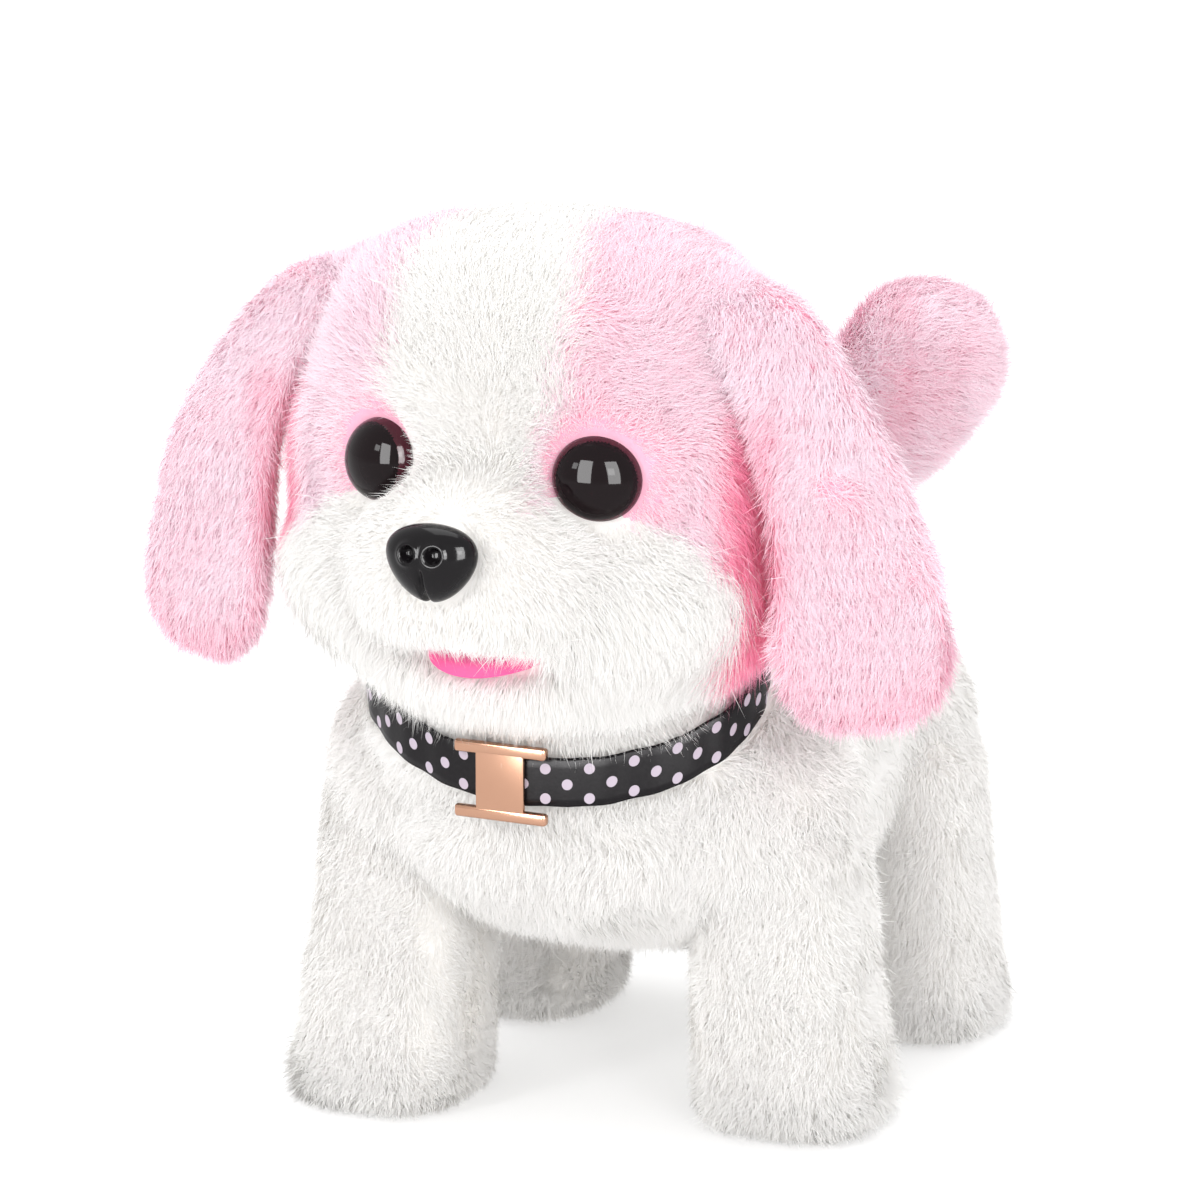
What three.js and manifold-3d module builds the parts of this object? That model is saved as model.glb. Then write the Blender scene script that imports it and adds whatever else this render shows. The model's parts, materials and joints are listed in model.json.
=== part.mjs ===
// Battery walking puppy: a plush-covered toy dog that walks, nods and wags its tail.
//
// Millimetres, +Z up. The dog looks along -Y and its own left side is +X, so that Z = 0 is the
// floor under its four soles. A plastic shell in the belly holds two cells, a motor and a gear
// train; a crankshaft across the shell pushes one drive bar on each side, and each bar swings the
// front and the rear leg of its side together. The plush skins cover all of it.
import * as THREE from 'three';
import { mergeVertices } from 'three/addons/utils/BufferGeometryUtils.js';
import Module from 'manifold-3d';

const wasm = await Module();
wasm.setup();

// ---------------------------------------------------------------- driving dimensions
const CENTRE_Y = 11.7;                // puts the middle of the whole dog's length over Y = 0
const GAP = 0.4;                      // running clearance between neighbouring pieces

const HIP = { y: 34, z: 62 };         // front hips at -y, rear hips at +y
const LEAN = 10;                      // degrees; left feet stand back, right feet forward
const SWING = 16;                     // degrees each way from upright, the legs' full stride
const LEG = { x: 44.7, width: 32.8, length: 39, top: 81, foot: 1 };
const PAD = { x0: 30, x1: 53, half: 10.5, thick: 2.1 };
const FOOT = { x1: 54.5, half: 11.5, low: 2.5, high: 8.5, corner: 5 };

const SHELL = { half: 19, front: -46, rear: 46, bottom: 40, top: 94, wall: 1.8, corner: 10 };
const BAR = { x0: 22.1, x1: 24.3, arm: 14 };          // the drive bars pull 14 mm above the hips
const PLATE = { x0: 24.8, x1: 27.8 };                 // the legs' inner side plates
const AXLE = 1.5;                                     // radius of every steel shaft

const BODY = { y: 0, z: 75.5, x: 51, long: 70, high: 43.5, square: 2.6 };
const HEAD = { y: -60, z: 130 };                      // the point the head's skin is drawn around
const NECK = { y: -40, z: 104 };                      // nodding hinge
const EYE = { x: 22.8, y: -80, z: 143, radius: 8.7 };
const NOSE = { y: -102.6, z: 129, x: 8.8, high: 7.4, deep: 5.6 };
const COLLAR = { y: -46.5, z: 98.1, x: 42.5, long: 28.4, wide: 9.8, thick: 1, slope: 32.5 };
const TAIL = { y: 52, z: 88, lean: 32, back: 21, reach: 62.5, ball: 16 };
const EAR = { base: 75, turned: 17, narrow: 10, widen: 6.5, thick: 6 };    // degrees, then half sizes

const MODULE = 0.6;                                   // gear tooth size
const TEETH = { motor: 8, big: 30, small: 10, crank: 36, bevel: 16, crown: 20 };
const CRANK = { y: 0, z: HIP.z + BAR.arm, throw: BAR.arm * Math.sin(rad(SWING)) };

// ---------------------------------------------------------------- finishes
const finish = {
  whitePlush: { color: 0xf4f2ee, roughness: 0.95, metalness: 0 },
  pinkPlush: { color: 0xfbc3d6, roughness: 0.95, metalness: 0 },
  gloss: { color: 0x0d0c0d, roughness: 0.08, metalness: 0 },
  tongue: { color: 0xe8509f, roughness: 0.8, metalness: 0 },
  ribbon: { color: 0x100d10, roughness: 0.35, metalness: 0 },
  roseGold: { color: 0xd9a288, roughness: 0.2, metalness: 1 },
  shell: { color: 0xd9dadb, roughness: 0.5, metalness: 0 },
  frame: { color: 0xb9bcc0, roughness: 0.5, metalness: 0 },
  gear: { color: 0xefeee6, roughness: 0.45, metalness: 0 },
  steel: { color: 0xa9adb2, roughness: 0.3, metalness: 1 },
  tin: { color: 0xc8cacc, roughness: 0.35, metalness: 1 },
  board: { color: 0x1f6b3c, roughness: 0.5, metalness: 0 },
  dark: { color: 0x2a2b2d, roughness: 0.6, metalness: 0 },
  cell: { color: 0x3a5f8f, roughness: 0.35, metalness: 0.2 },
  sole: { color: 0xdedbd6, roughness: 0.9, metalness: 0 },
};

// ---------------------------------------------------------------- small tools
function rad(degrees) {
  return (degrees * Math.PI) / 180;
}

// A closed three.js geometry as a solid that can be cut and joined, and back again.
function solid(geometry) {
  const bare = geometry.clone();
  bare.deleteAttribute('normal');
  bare.deleteAttribute('uv');
  const merged = mergeVertices(bare, 1e-4);
  return new wasm.Manifold(new wasm.Mesh({
    numProp: 3,
    vertProperties: new Float32Array(merged.attributes.position.array),
    triVerts: new Uint32Array(merged.index.array),
  }));
}

function geometryOf(body) {
  const mesh = body.getMesh();
  const geometry = new THREE.BufferGeometry();
  geometry.setAttribute('position', new THREE.BufferAttribute(new Float32Array(mesh.vertProperties), 3));
  geometry.setIndex(new THREE.BufferAttribute(new Uint32Array(mesh.triVerts), 1));
  geometry.computeVertexNormals();
  return geometry;
}

function cut(base, ...tools) {
  return geometryOf(tools.reduce((left, tool) => left.subtract(solid(tool)), solid(base)));
}

function join(base, ...others) {
  return geometryOf(others.reduce((left, other) => left.add(solid(other)), solid(base)));
}

function box(x0, x1, y0, y1, z0, z1) {
  const geometry = new THREE.BoxGeometry(Math.abs(x1 - x0), y1 - y0, z1 - z0);
  return geometry.translate((x0 + x1) / 2, (y0 + y1) / 2, (z0 + z1) / 2);
}

// A round bar along X or Y, given its centre in the other two directions.
function rodX(radius, x0, x1, y, z, sides = 12) {
  const geometry = new THREE.CylinderGeometry(radius, radius, Math.abs(x1 - x0), sides);
  return geometry.rotateZ(Math.PI / 2).translate((x0 + x1) / 2, y, z);
}

function rodY(radius, y0, y1, x, z, sides = 12) {
  const geometry = new THREE.CylinderGeometry(radius, radius, y1 - y0, sides);
  return geometry.translate(x, (y0 + y1) / 2, z);
}

function rodZ(radius, z0, z1, x, y, sides = 12) {
  const geometry = new THREE.CylinderGeometry(radius, radius, z1 - z0, sides);
  return geometry.rotateX(Math.PI / 2).translate(x, y, (z0 + z1) / 2);
}

function roundBetween(radius, from, to, sides = 12) {
  const way = new THREE.Vector3().subVectors(to, from);
  const geometry = new THREE.CylinderGeometry(radius, radius, way.length(), sides);
  const turn = new THREE.Quaternion().setFromUnitVectors(new THREE.Vector3(0, 1, 0), way.clone().normalize());
  geometry.applyQuaternion(turn);
  const middle = from.clone().lerp(to, 0.5);
  return geometry.translate(middle.x, middle.y, middle.z);
}

// An outline drawn in (Y, Z) and made solid from x0 to x1.
function plateX(shape, x0, x1, curveSegments = 3) {
  const low = Math.min(x0, x1);
  const geometry = new THREE.ExtrudeGeometry(shape, {
    depth: Math.abs(x1 - x0), bevelEnabled: false, curveSegments,
  });
  const turn = new THREE.Matrix4().makeBasis(
    new THREE.Vector3(0, 1, 0), new THREE.Vector3(0, 0, 1), new THREE.Vector3(1, 0, 0));
  return geometry.applyMatrix4(turn).translate(low, 0, 0);
}

function plateZ(shape, z0, z1, curveSegments = 3) {
  const geometry = new THREE.ExtrudeGeometry(shape, { depth: z1 - z0, bevelEnabled: false, curveSegments });
  return geometry.translate(0, 0, z0);
}

function roundedRect(u0, u1, v0, v1, radius) {
  const shape = new THREE.Shape();
  shape.moveTo(u0 + radius, v0);
  shape.lineTo(u1 - radius, v0);
  shape.absarc(u1 - radius, v0 + radius, radius, -Math.PI / 2, 0, false);
  shape.lineTo(u1, v1 - radius);
  shape.absarc(u1 - radius, v1 - radius, radius, 0, Math.PI / 2, false);
  shape.lineTo(u0 + radius, v1);
  shape.absarc(u0 + radius, v1 - radius, radius, Math.PI / 2, Math.PI, false);
  shape.lineTo(u0, v0 + radius);
  shape.absarc(u0 + radius, v0 + radius, radius, Math.PI, Math.PI * 1.5, false);
  return shape;
}

// A link: two round ends joined by straight sides.
function link(u0, v0, u1, v1, radius) {
  const along = Math.atan2(v1 - v0, u1 - u0);
  const shape = new THREE.Shape();
  shape.absarc(u1, v1, radius, along - Math.PI / 2, along + Math.PI / 2, false);
  shape.absarc(u0, v0, radius, along + Math.PI / 2, along + Math.PI * 1.5, false);
  return shape;
}

function polygon(points) {
  return new THREE.Shape(points.map(([u, v]) => new THREE.Vector2(u, v)));
}

// How far a ray from a point inside reaches before it leaves a rounded box or an ellipsoid.
function reachOf(way, from, form) {
  let inside = 0;
  let outside = 200;
  const power = form.square ?? 2;
  for (let step = 0; step < 40; step += 1) {
    const t = (inside + outside) / 2;
    const u = Math.abs((from.x + way.x * t - form.at[0]) / form.size[0]);
    const v = Math.abs((from.y + way.y * t - form.at[1]) / form.size[1]);
    const w = Math.abs((from.z + way.z * t - form.at[2]) / form.size[2]);
    if (u ** power + v ** power + w ** power < 1) inside = t;
    else outside = t;
  }
  return inside;
}

// A ray that starts outside a form is followed from the form's own middle plane instead.
function farReach(way, from, form) {
  const toward = new THREE.Vector3(...form.at).sub(from);
  const start = Math.max(0, toward.dot(way));
  const begin = from.clone().addScaledVector(way, start);
  const beyond = reachOf(way, begin, form);
  return beyond > 0.01 ? start + beyond : 0;
}

// A stuffed skin: the outside of several rounded forms run together, drawn round one point.
function stuffed(centre, forms, grow = 0, around = 20, rings = 12) {
  const geometry = new THREE.SphereGeometry(1, around, rings).rotateX(Math.PI / 2);
  const place = geometry.attributes.position;
  const from = new THREE.Vector3(...centre);
  const bigger = forms.map((form) => ({ ...form, size: form.size.map((half) => half + grow) }));
  for (let i = 0; i < place.count; i += 1) {
    const way = new THREE.Vector3().fromBufferAttribute(place, i).normalize();
    const blend = 16;
    let sum = 0;
    for (const form of bigger) sum += farReach(way, from, form) ** blend;
    const far = sum ** (1 / blend);
    place.setXYZ(i, from.x + way.x * far, from.y + way.y * far, from.z + way.z * far);
  }
  return geometry;
}

// ---------------------------------------------------------------- the model and its pieces
const dog = new THREE.Group();
dog.position.y = CENTRE_Y;

function piece(name, geometry, look, parent = dog) {
  const mesh = new THREE.Mesh(geometry, new THREE.MeshStandardMaterial(finish[look]));
  mesh.name = name;
  parent.add(mesh);
  return mesh;
}

// ---------------------------------------------------------------- plush forms
const headForms = [
  { at: [0, -52, 147], size: [47, 35, 42], square: 2.15 },   // skull
  { at: [0, -62, 119], size: [51, 31, 26] },                // cheeks
  { at: [0, -83, 126], size: [26, 22, 19] },                // muzzle
  { at: [0, -64, 102], size: [33, 18, 13] },                // chin
];
const bodyForms = [
  { at: [0, BODY.y, BODY.z], size: [BODY.x, BODY.long, BODY.high], square: BODY.square },
  { at: [0, -48, 88], size: [41, 25, 20] },           // neck, inside the collar
];

function headSkin(grow) {
  return stuffed([0, HEAD.y, HEAD.z], headForms, grow);
}

// The eyes look forward and a little to their own side.
function eyeFrame(side) {
  const group = new THREE.Group();
  group.position.set(side * EYE.x, EYE.y, EYE.z);
  const look = new THREE.Vector3(side * 0.36, -0.93, 0.06).normalize();
  group.quaternion.setFromUnitVectors(new THREE.Vector3(0, 0, 1), look);
  group.updateMatrix();
  return group;
}

// ---------------------------------------------------------------- head
const NECK_FORK = { inner: 4.9, outer: 7.6 };

function mouthSlot() {
  return box(-13.6, 13.6, -100, -66, 102.6, 107.4);
}

function buildHead() {
  const washer = { radius: 6, back: 7.5, thick: 1.2 };
  const tools = [];
  for (const side of [1, -1]) {
    const frame = eyeFrame(side);
    tools.push(rodZ(EYE.radius + 0.5, 0, 30, 0, 0, 20).applyMatrix4(frame.matrix));
    tools.push(rodZ(1.9, -11, 1, 0, 0, 10).applyMatrix4(frame.matrix));
    tools.push(rodZ(washer.radius + GAP, -washer.back - washer.thick - GAP, -washer.back + GAP, 0, 0, 12)
      .applyMatrix4(frame.matrix));
  }
  tools.push(rodY(NOSE.x + 0.2, -130, NOSE.y, 0, NOSE.z, 20));
  tools.push(rodY(1.9, NOSE.y - 1, NOSE.y + 11, 0, NOSE.z, 10));
  tools.push(mouthSlot());
  tools.push(box(-11, 11, -52, -10, 85, 118));                         // slot for the neck
  tools.push(rodZ(20.5, 116, 128.5, 0, -52, 20));                      // room for the skull plate
  piece('head_plush', cut(headSkin(0), ...tools), 'whitePlush');

  const skullPlate = rodZ(20, 122, 127, 0, -52, 20);
  const stem = box(-NECK_FORK.outer, NECK_FORK.outer, -50, -44, 104, 122.5);
  const fork = [1, -1].map((side) => plateX(
    link(NECK.y, NECK.z, -47, 112, 4.5), side * NECK_FORK.inner, side * NECK_FORK.outer));
  const core = join(skullPlate, stem, ...fork);
  piece('head_frame', cut(
    core,
    rodX(AXLE + 0.3, -10, 10, NECK.y, NECK.z),
    box(-NECK_FORK.inner, NECK_FORK.inner, -60, -30, 95, 113)), 'frame');

  for (const side of [1, -1]) {
    const word = side > 0 ? 'left' : 'right';
    const frame = eyeFrame(side);
    dog.add(frame);
    const dome = new THREE.LatheGeometry([
      [0, 0.3], [1.5, 0.3], [1.5, -10], [0, -10],
    ].map(([r, h]) => new THREE.Vector2(r, h)).reverse(), 10).rotateX(Math.PI / 2);
    const bulge = [new THREE.Vector2(0, 0.3), new THREE.Vector2(EYE.radius - 0.6, 0.3)];
    for (let i = 0; i <= 4; i += 1) {
      const turn = (i / 4) * (Math.PI / 2);
      bulge.push(new THREE.Vector2(EYE.radius * Math.cos(turn), 1 + 5.4 * Math.sin(turn)));
    }
    bulge[bulge.length - 1].x = 0;
    const cap = new THREE.LatheGeometry(bulge, 16).rotateX(Math.PI / 2);
    piece(`eye_${word}`, join(cap, dome), 'gloss', frame);
    const ring = cut(
      rodZ(washer.radius, -washer.back - washer.thick, -washer.back, 0, 0, 12),
      rodZ(AXLE + 0.25, -12, 0, 0, 0, 10));
    piece(`eye_washer_${word}`, ring, 'dark', frame);
  }

  const snout = new THREE.SphereGeometry(1, 16, 8);
  const at = snout.attributes.position;
  for (let i = 0; i < at.count; i += 1) {
    const narrow = 1 + 0.28 * at.getY(i);                              // narrower at the bottom
    at.setXYZ(i, at.getX(i) * NOSE.x * narrow * 0.86, at.getZ(i) * NOSE.deep, at.getY(i) * NOSE.high);
  }
  snout.index.array.reverse();
  snout.translate(0, NOSE.y - 2.4, NOSE.z);
  const button = geometryOf(solid(snout).subtract(
    solid(box(-20, 20, NOSE.y - GAP, 0, 100, 160))));
  piece('nose', join(button, rodY(AXLE, NOSE.y - 2, NOSE.y + 10, 0, NOSE.z, 10)), 'gloss');

  const pad = new THREE.Shape();
  pad.moveTo(-12.5, -70);
  pad.lineTo(-12.5, -80);
  pad.absellipse(0, -80, 12.5, 10, Math.PI, Math.PI * 2, false);
  pad.lineTo(12.5, -70);
  piece('tongue', plateZ(pad, 103.4, 106.6, 8), 'tongue');
}

// ---------------------------------------------------------------- ears
// Each ear is a flat cushion sewn along the top of the head, front to back. It bends down over
// the side of the head, and twists on the way so that its face turns forward.
function buildEar(side) {
  const spine = new THREE.CatmullRomCurve3([
    new THREE.Vector3(32, -50, 179), new THREE.Vector3(48, -55, 169), new THREE.Vector3(60, -59, 146),
    new THREE.Vector3(68, -62, 121), new THREE.Vector3(71.5, -64, 96),
  ]);
  const geometry = new THREE.SphereGeometry(1, 14, 12).rotateX(Math.PI / 2);
  const at = geometry.attributes.position;
  for (let i = 0; i < at.count; i += 1) {
    const along = Math.acos(THREE.MathUtils.clamp(at.getZ(i), -1, 1)) / Math.PI;
    const open = Math.sin(Math.PI * along) || 1;
    const twist = 1 - THREE.MathUtils.smoothstep(along, 0, 0.45);
    const facing = rad(EAR.turned + (EAR.base - EAR.turned) * twist);
    const width = EAR.narrow + EAR.widen * Math.min(1, along / 0.8);
    const edge = Math.sqrt(1 - Math.abs(2 * along - 1) ** 8);
    const point = spine.getPointAt(along);
    const heading = spine.getTangentAt(along);
    const across = new THREE.Vector3(Math.cos(facing), Math.sin(facing), 0);
    across.addScaledVector(heading, -across.dot(heading)).normalize();
    const outward = new THREE.Vector3().crossVectors(across, heading).normalize();
    const wide = (at.getY(i) / open) * width * edge;
    const deep = (at.getX(i) / open) * EAR.thick * edge;
    point.addScaledVector(across, wide).addScaledVector(outward, deep);
    at.setXYZ(i, side * point.x, point.y, point.z);
  }
  if (side > 0) geometry.index.array.reverse();                        // keeps its faces outward
  piece(side > 0 ? 'ear_left' : 'ear_right', cut(geometry, headSkin(1.7)), 'pinkPlush');
}

// ---------------------------------------------------------------- body
function shellOutline(grow) {
  return roundedRect(
    SHELL.front - grow, SHELL.rear + grow, SHELL.bottom - grow, SHELL.top + grow, SHELL.corner + grow);
}

// The room a leg needs while it swings: round about its hip and widening towards the floor.
function strideRoom(side, hipY) {
  const reach = 20.8;
  const spread = reach + 42 * Math.tan(rad(SWING + 1));
  const outline = polygon([
    [hipY - reach, HIP.z], [hipY - spread, HIP.z - 42], [hipY + spread, HIP.z - 42], [hipY + reach, HIP.z],
  ]);
  return [
    rodX(reach, side * (PLATE.x0 - 0.1), side * 75, hipY, HIP.z, 20),
    plateX(outline, side * (PLATE.x0 - 0.1), side * 75),
  ];
}

function collarRing(grow) {
  const bigger = COLLAR.thick / 2 + grow;
  const ring = new THREE.Shape();
  ring.absellipse(0, 0, COLLAR.x + bigger, COLLAR.long + bigger, 0, Math.PI * 2, false);
  const inside = new THREE.Path();
  inside.absellipse(0, 0, COLLAR.x - bigger, COLLAR.long - bigger, 0, Math.PI * 2, true);
  ring.holes.push(inside);
  const half = COLLAR.wide / 2 + grow;
  return worn(plateZ(ring, -half, half, 22));
}

// The collar hangs lower at the chest than behind the head, but its strip stands upright.
function worn(geometry) {
  const drop = Math.tan(rad(COLLAR.slope));
  const shear = new THREE.Matrix4().set(1, 0, 0, 0, 0, 1, 0, 0, 0, drop, 1, 0, 0, 0, 0, 1);
  return geometry.applyMatrix4(shear).translate(0, COLLAR.y, COLLAR.z);
}

function buildBodyPlush() {
  const skin = stuffed([0, -6, 78], bodyForms);
  const belly = box(-17, 17, -31, 44, 20, 45);
  const neckRoom = box(-13, 13, -56, -28, 92, 140);
  const tailRoom = box(-14, 14, 44, 58, 62, 96);
  const fan = new THREE.Shape();
  const from = TAIL.lean - 25;
  const to = TAIL.lean + 28;
  const half = 11.5;
  const edge = (angle, far, side) => [
    far * Math.sin(rad(angle)) + side * half * Math.cos(rad(angle)),
    far * Math.cos(rad(angle)) - side * half * Math.sin(rad(angle)),
  ];
  fan.moveTo(...edge(from, -4, -1));
  fan.lineTo(...edge(from, 50, -1));
  fan.lineTo(...edge((from + to) / 2, 62, 0));
  fan.lineTo(...edge(to, 50, 1));
  fan.lineTo(...edge(to, -4, 1));
  const tailSlot = new THREE.ExtrudeGeometry(fan, { depth: 60, bevelEnabled: false })
    .rotateX(Math.PI / 2).translate(0, 107, TAIL.z);
  const legs = [1, -1].flatMap((side) => [-HIP.y, HIP.y].flatMap((y) => strideRoom(side, y)));
  const room = plateX(shellOutline(1.2), -PLATE.x0 + 0.1, PLATE.x0 - 0.1, 2);
  const tools = [room, belly, neckRoom, tailRoom, tailSlot, headSkin(4.5), collarRing(0.5), ...legs];
  piece('body_plush', cut(skin, ...tools), 'whitePlush');
}

const DOOR = { x: 14.6, y: 27.4 };
const SWITCH = { y: 36, travel: 3.5 };

function buildShell() {
  for (const side of [1, -1]) {
    const outer = plateX(shellOutline(0), side * 0.1, side * SHELL.half);
    const inner = plateX(shellOutline(-SHELL.wall), side * -1, side * (SHELL.half - SHELL.wall));
    const tools = [
      inner,
      rodX(AXLE + GAP, side * 10, side * 30, CRANK.y, CRANK.z),
      rodX(AXLE + 0.3, side * 10, side * 30, -HIP.y, HIP.z),
      rodX(AXLE + 0.3, side * 10, side * 30, HIP.y, HIP.z),
      box(-DOOR.x - GAP, DOOR.x + GAP, -DOOR.y - GAP, DOOR.y + GAP, 30, 45),
      box(-2.2, 2.2, 31, 42, 30, 45),
      rodY(AXLE + 0.3, 40, 60, 0, TAIL.z),
      rodY(AXLE + GAP, 40, 60, 0, CRANK.z),
    ];
    if (side < 0) {
      for (let row = -1; row <= 1; row += 1) {
        for (let column = -1; column <= 1; column += 1) {
          tools.push(rodX(1.2, -30, -10, 27 + column * 5, 79 + row * 5, 6));   // speaker holes
        }
      }
    }
    piece(side > 0 ? 'shell_left' : 'shell_right', cut(outer, ...tools), 'shell');
  }
}

const CELL = { x: 7.7, z: 50.4, radius: 7.1, half: 24.6 };

function buildPower() {
  const tray = box(-16.6, 16.6, -29.5, 29.5, 43, 60);
  const bays = [1, -1].map((side) => rodY(CELL.radius + GAP, -27.2, 27.2, side * CELL.x, CELL.z, 20));
  const mouths = [1, -1].map((side) => box(
    side * CELL.x - CELL.radius, side * CELL.x + CELL.radius, -27.2, 27.2, 40, CELL.z));
  const pockets = [1, -1].map((end) => box(
    -13.9, 13.9, Math.min(end * 25.6, end * 27.2), Math.max(end * 25.6, end * 27.2), 40, 56.4));
  piece('battery_box', cut(tray, ...bays, ...mouths, ...pockets), 'shell');
  [1, -1].forEach((side, index) => {
    const can = rodY(CELL.radius, -CELL.half, CELL.half, side * CELL.x, CELL.z, 20);
    const nub = rodY(2.7, CELL.half - 1, CELL.half + 1, side * CELL.x, CELL.z, 12);
    if (side < 0) nub.translate(0, -2 * CELL.half, 0);
    piece(`battery_${index + 1}`, join(can, nub), 'cell');
  });
  for (const end of [1, -1]) {
    const y0 = end > 0 ? 26.2 : -26.8;
    const strip = box(-13.5, 13.5, y0, y0 + 0.6, 44.5, 56);
    const bump = [1, -1].filter((side) => side !== end).map((side) => rodY(
      2.2, end > 0 ? 25 : -26.4, end > 0 ? 26.4 : -25, side * CELL.x, CELL.z, 10));
    piece(end > 0 ? 'contact_rear' : 'contact_front', join(strip, ...bump), 'tin');
  }
  const door = box(-DOOR.x, DOOR.x, -DOOR.y, DOOR.y, SHELL.bottom + 0.1, SHELL.bottom + 1.8);
  const rib = box(-DOOR.x + 3, DOOR.x - 3, -DOOR.y + 2, -DOOR.y + 3.4, SHELL.bottom - 0.6, SHELL.bottom + 1);
  const screwHole = rodZ(1.5, 30, 50, 0, DOOR.y - 4);
  piece('battery_door', cut(join(door, rib), screwHole), 'shell');
  const head = rodZ(2.5, SHELL.bottom - 1.3, SHELL.bottom - 0.2, 0, DOOR.y - 4, 14);
  const shank = rodZ(1.1, SHELL.bottom - 0.6, SHELL.bottom + 2.6, 0, DOOR.y - 4, 10);
  const crossSlot = [box(-1.7, 1.7, DOOR.y - 4.3, DOOR.y - 3.7, 30, SHELL.bottom - 0.8),
    box(-0.3, 0.3, DOOR.y - 5.7, DOOR.y - 2.3, 30, SHELL.bottom - 0.8)];
  piece('door_screw', cut(join(head, shank), ...crossSlot), 'steel');
  const thumb = box(-3.4, 3.4, SWITCH.y - 3, SWITCH.y + 2.2, SHELL.bottom - 2.4, SHELL.bottom - GAP);
  const stem = box(-1.7, 1.7, SWITCH.y - 2, SWITCH.y + 1.2, SHELL.bottom - 1, SHELL.bottom + 3);
  const grips = [-1.8, -0.4, 1].map((dy) => box(
    -4, 4, SWITCH.y + dy - 0.25, SWITCH.y + dy + 0.25, SHELL.bottom - 3, SHELL.bottom - 2));
  piece('power_switch', cut(join(thumb, stem), ...grips), 'dark');
  piece('circuit_board', box(13.2, 14.8, 11, 41, 64.5, 89), 'board');
  const cone = new THREE.LatheGeometry([
    [0, -15.8], [13, -15.8], [13, -14.6], [7, -13.6], [7, -9.4], [0, -9.4],
  ].map(([r, x]) => new THREE.Vector2(r, x)), 20).rotateZ(-Math.PI / 2).translate(0, 27, 79);
  piece('speaker', cone, 'dark');
}

// ---------------------------------------------------------------- gear train
// Straight-sided teeth kept a little short and narrow, so that meshing teeth never touch.
function gearOutline(teeth, phase, bore, y, z) {
  const pitch = (MODULE * teeth) / 2;
  const root = pitch - 0.85 * MODULE;
  const tip = pitch + 0.55 * MODULE;
  const share = Math.PI / teeth;
  const points = [];
  for (let i = 0; i < teeth; i += 1) {
    const middle = phase + (i * 2 * Math.PI) / teeth;
    for (const [radius, turn] of [[root, -0.5], [tip, -0.2], [tip, 0.2], [root, 0.5]]) {
      const angle = middle + turn * share;
      points.push([y + radius * Math.cos(angle), z + radius * Math.sin(angle)]);
    }
  }
  const shape = polygon(points);
  const sides = 12;
  const corner = bore / Math.cos(Math.PI / sides);
  const ring = [];
  for (let i = 0; i < sides; i += 1) {
    const angle = (-i * 2 * Math.PI) / sides;
    ring.push(new THREE.Vector2(y + corner * Math.cos(angle), z + corner * Math.sin(angle)));
  }
  shape.holes.push(new THREE.Path(ring));
  return shape;
}

function apart(teethA, teethB) {
  return (MODULE * (teethA + teethB)) / 2;
}

function stepFrom(centre, distance, degrees) {
  return {
    y: centre.y + distance * Math.cos(rad(degrees)),
    z: centre.z + distance * Math.sin(rad(degrees)),
    back: rad(degrees) + Math.PI,
    to: rad(degrees),
  };
}

const second = stepFrom(CRANK, apart(TEETH.crank, TEETH.small), 197);
const first = stepFrom(second, apart(TEETH.big, TEETH.small), 165);
const motor = stepFrom(first, apart(TEETH.big, TEETH.motor), 135);
const LAYER = { motor: [-16.6, -14.8], middle: [-14.4, -12.6], crank: [-12.2, -10.4] };
const PLATE_IN = [-9.6, -8.4];                        // inner wall of the gearbox

function gear(teeth, phase, bore, centre, layer) {
  return plateX(gearOutline(teeth, phase, bore, centre.y, centre.z), layer[0], layer[1], 3);
}

function gap(teeth, angle) {
  return angle + Math.PI / teeth;
}

function collarDisc(radius, bore, centre, x0, x1) {
  return cut(rodX(radius, x0, x1, centre.y, centre.z), rodX(bore, x0 - 1, x1 + 1, centre.y, centre.z, 12));
}

function buildGears() {
  const bore = 1.1;
  const pin = 0.8;
  const pinion = gear(TEETH.motor, gap(TEETH.motor, motor.back), 0.8, motor, LAYER.motor);
  piece('motor_pinion', join(pinion, rodX(1, -16.7, -5, motor.y, motor.z, 10)), 'steel');
  const firstBig = gear(TEETH.big, motor.to, bore, first, LAYER.motor);
  const firstSmall = gear(
    TEETH.small, gap(TEETH.small, first.back), bore, first, [LAYER.motor[1], LAYER.middle[1]]);
  piece('gear_first', join(firstBig, firstSmall), 'gear');
  const secondBig = gear(TEETH.big, first.to, bore, second, LAYER.middle);
  const secondSmall = gear(
    TEETH.small, gap(TEETH.small, second.back), bore, second, [LAYER.middle[1], LAYER.crank[1]]);
  piece('gear_second', join(secondBig, secondSmall), 'gear');
  [['first', first], ['second', second]].forEach(([word, centre]) => {
    piece(`gear_pin_${word}`, rodX(pin, -16.9, PLATE_IN[1] + 0.1, centre.y, centre.z, 10), 'steel');
  });
  const crankGear = gear(TEETH.crank, second.to, AXLE + 0.1, CRANK, LAYER.crank);
  piece('crank_gear', crankGear, 'gear');

  const can = new THREE.Shape();
  const halfFlat = 7.5;
  const round = 10;
  const corner = Math.asin(halfFlat / round);
  can.absarc(motor.y, motor.z, round, -corner, corner, false);
  can.absarc(motor.y, motor.z, round, Math.PI - corner, Math.PI + corner, false);
  piece('motor', cut(plateX(can, -8, 16.6), rodX(1.4, -10, -4.5, motor.y, motor.z)), 'tin');

  const wall = roundedRect(SHELL.front + 3.6, 13, 64.3, 91.2, 7.5);
  piece('gearbox_plate', cut(
    plateX(wall, PLATE_IN[0], PLATE_IN[1], 3),
    rodX(2.4, -12, -5, motor.y, motor.z),
    rodX(AXLE + GAP, -12, -5, CRANK.y, CRANK.z),
    rodX(pin + 0.3, -12, -5, first.y, first.z, 10),
    rodX(pin + 0.3, -12, -5, second.y, second.z, 10)), 'frame');
}

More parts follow.
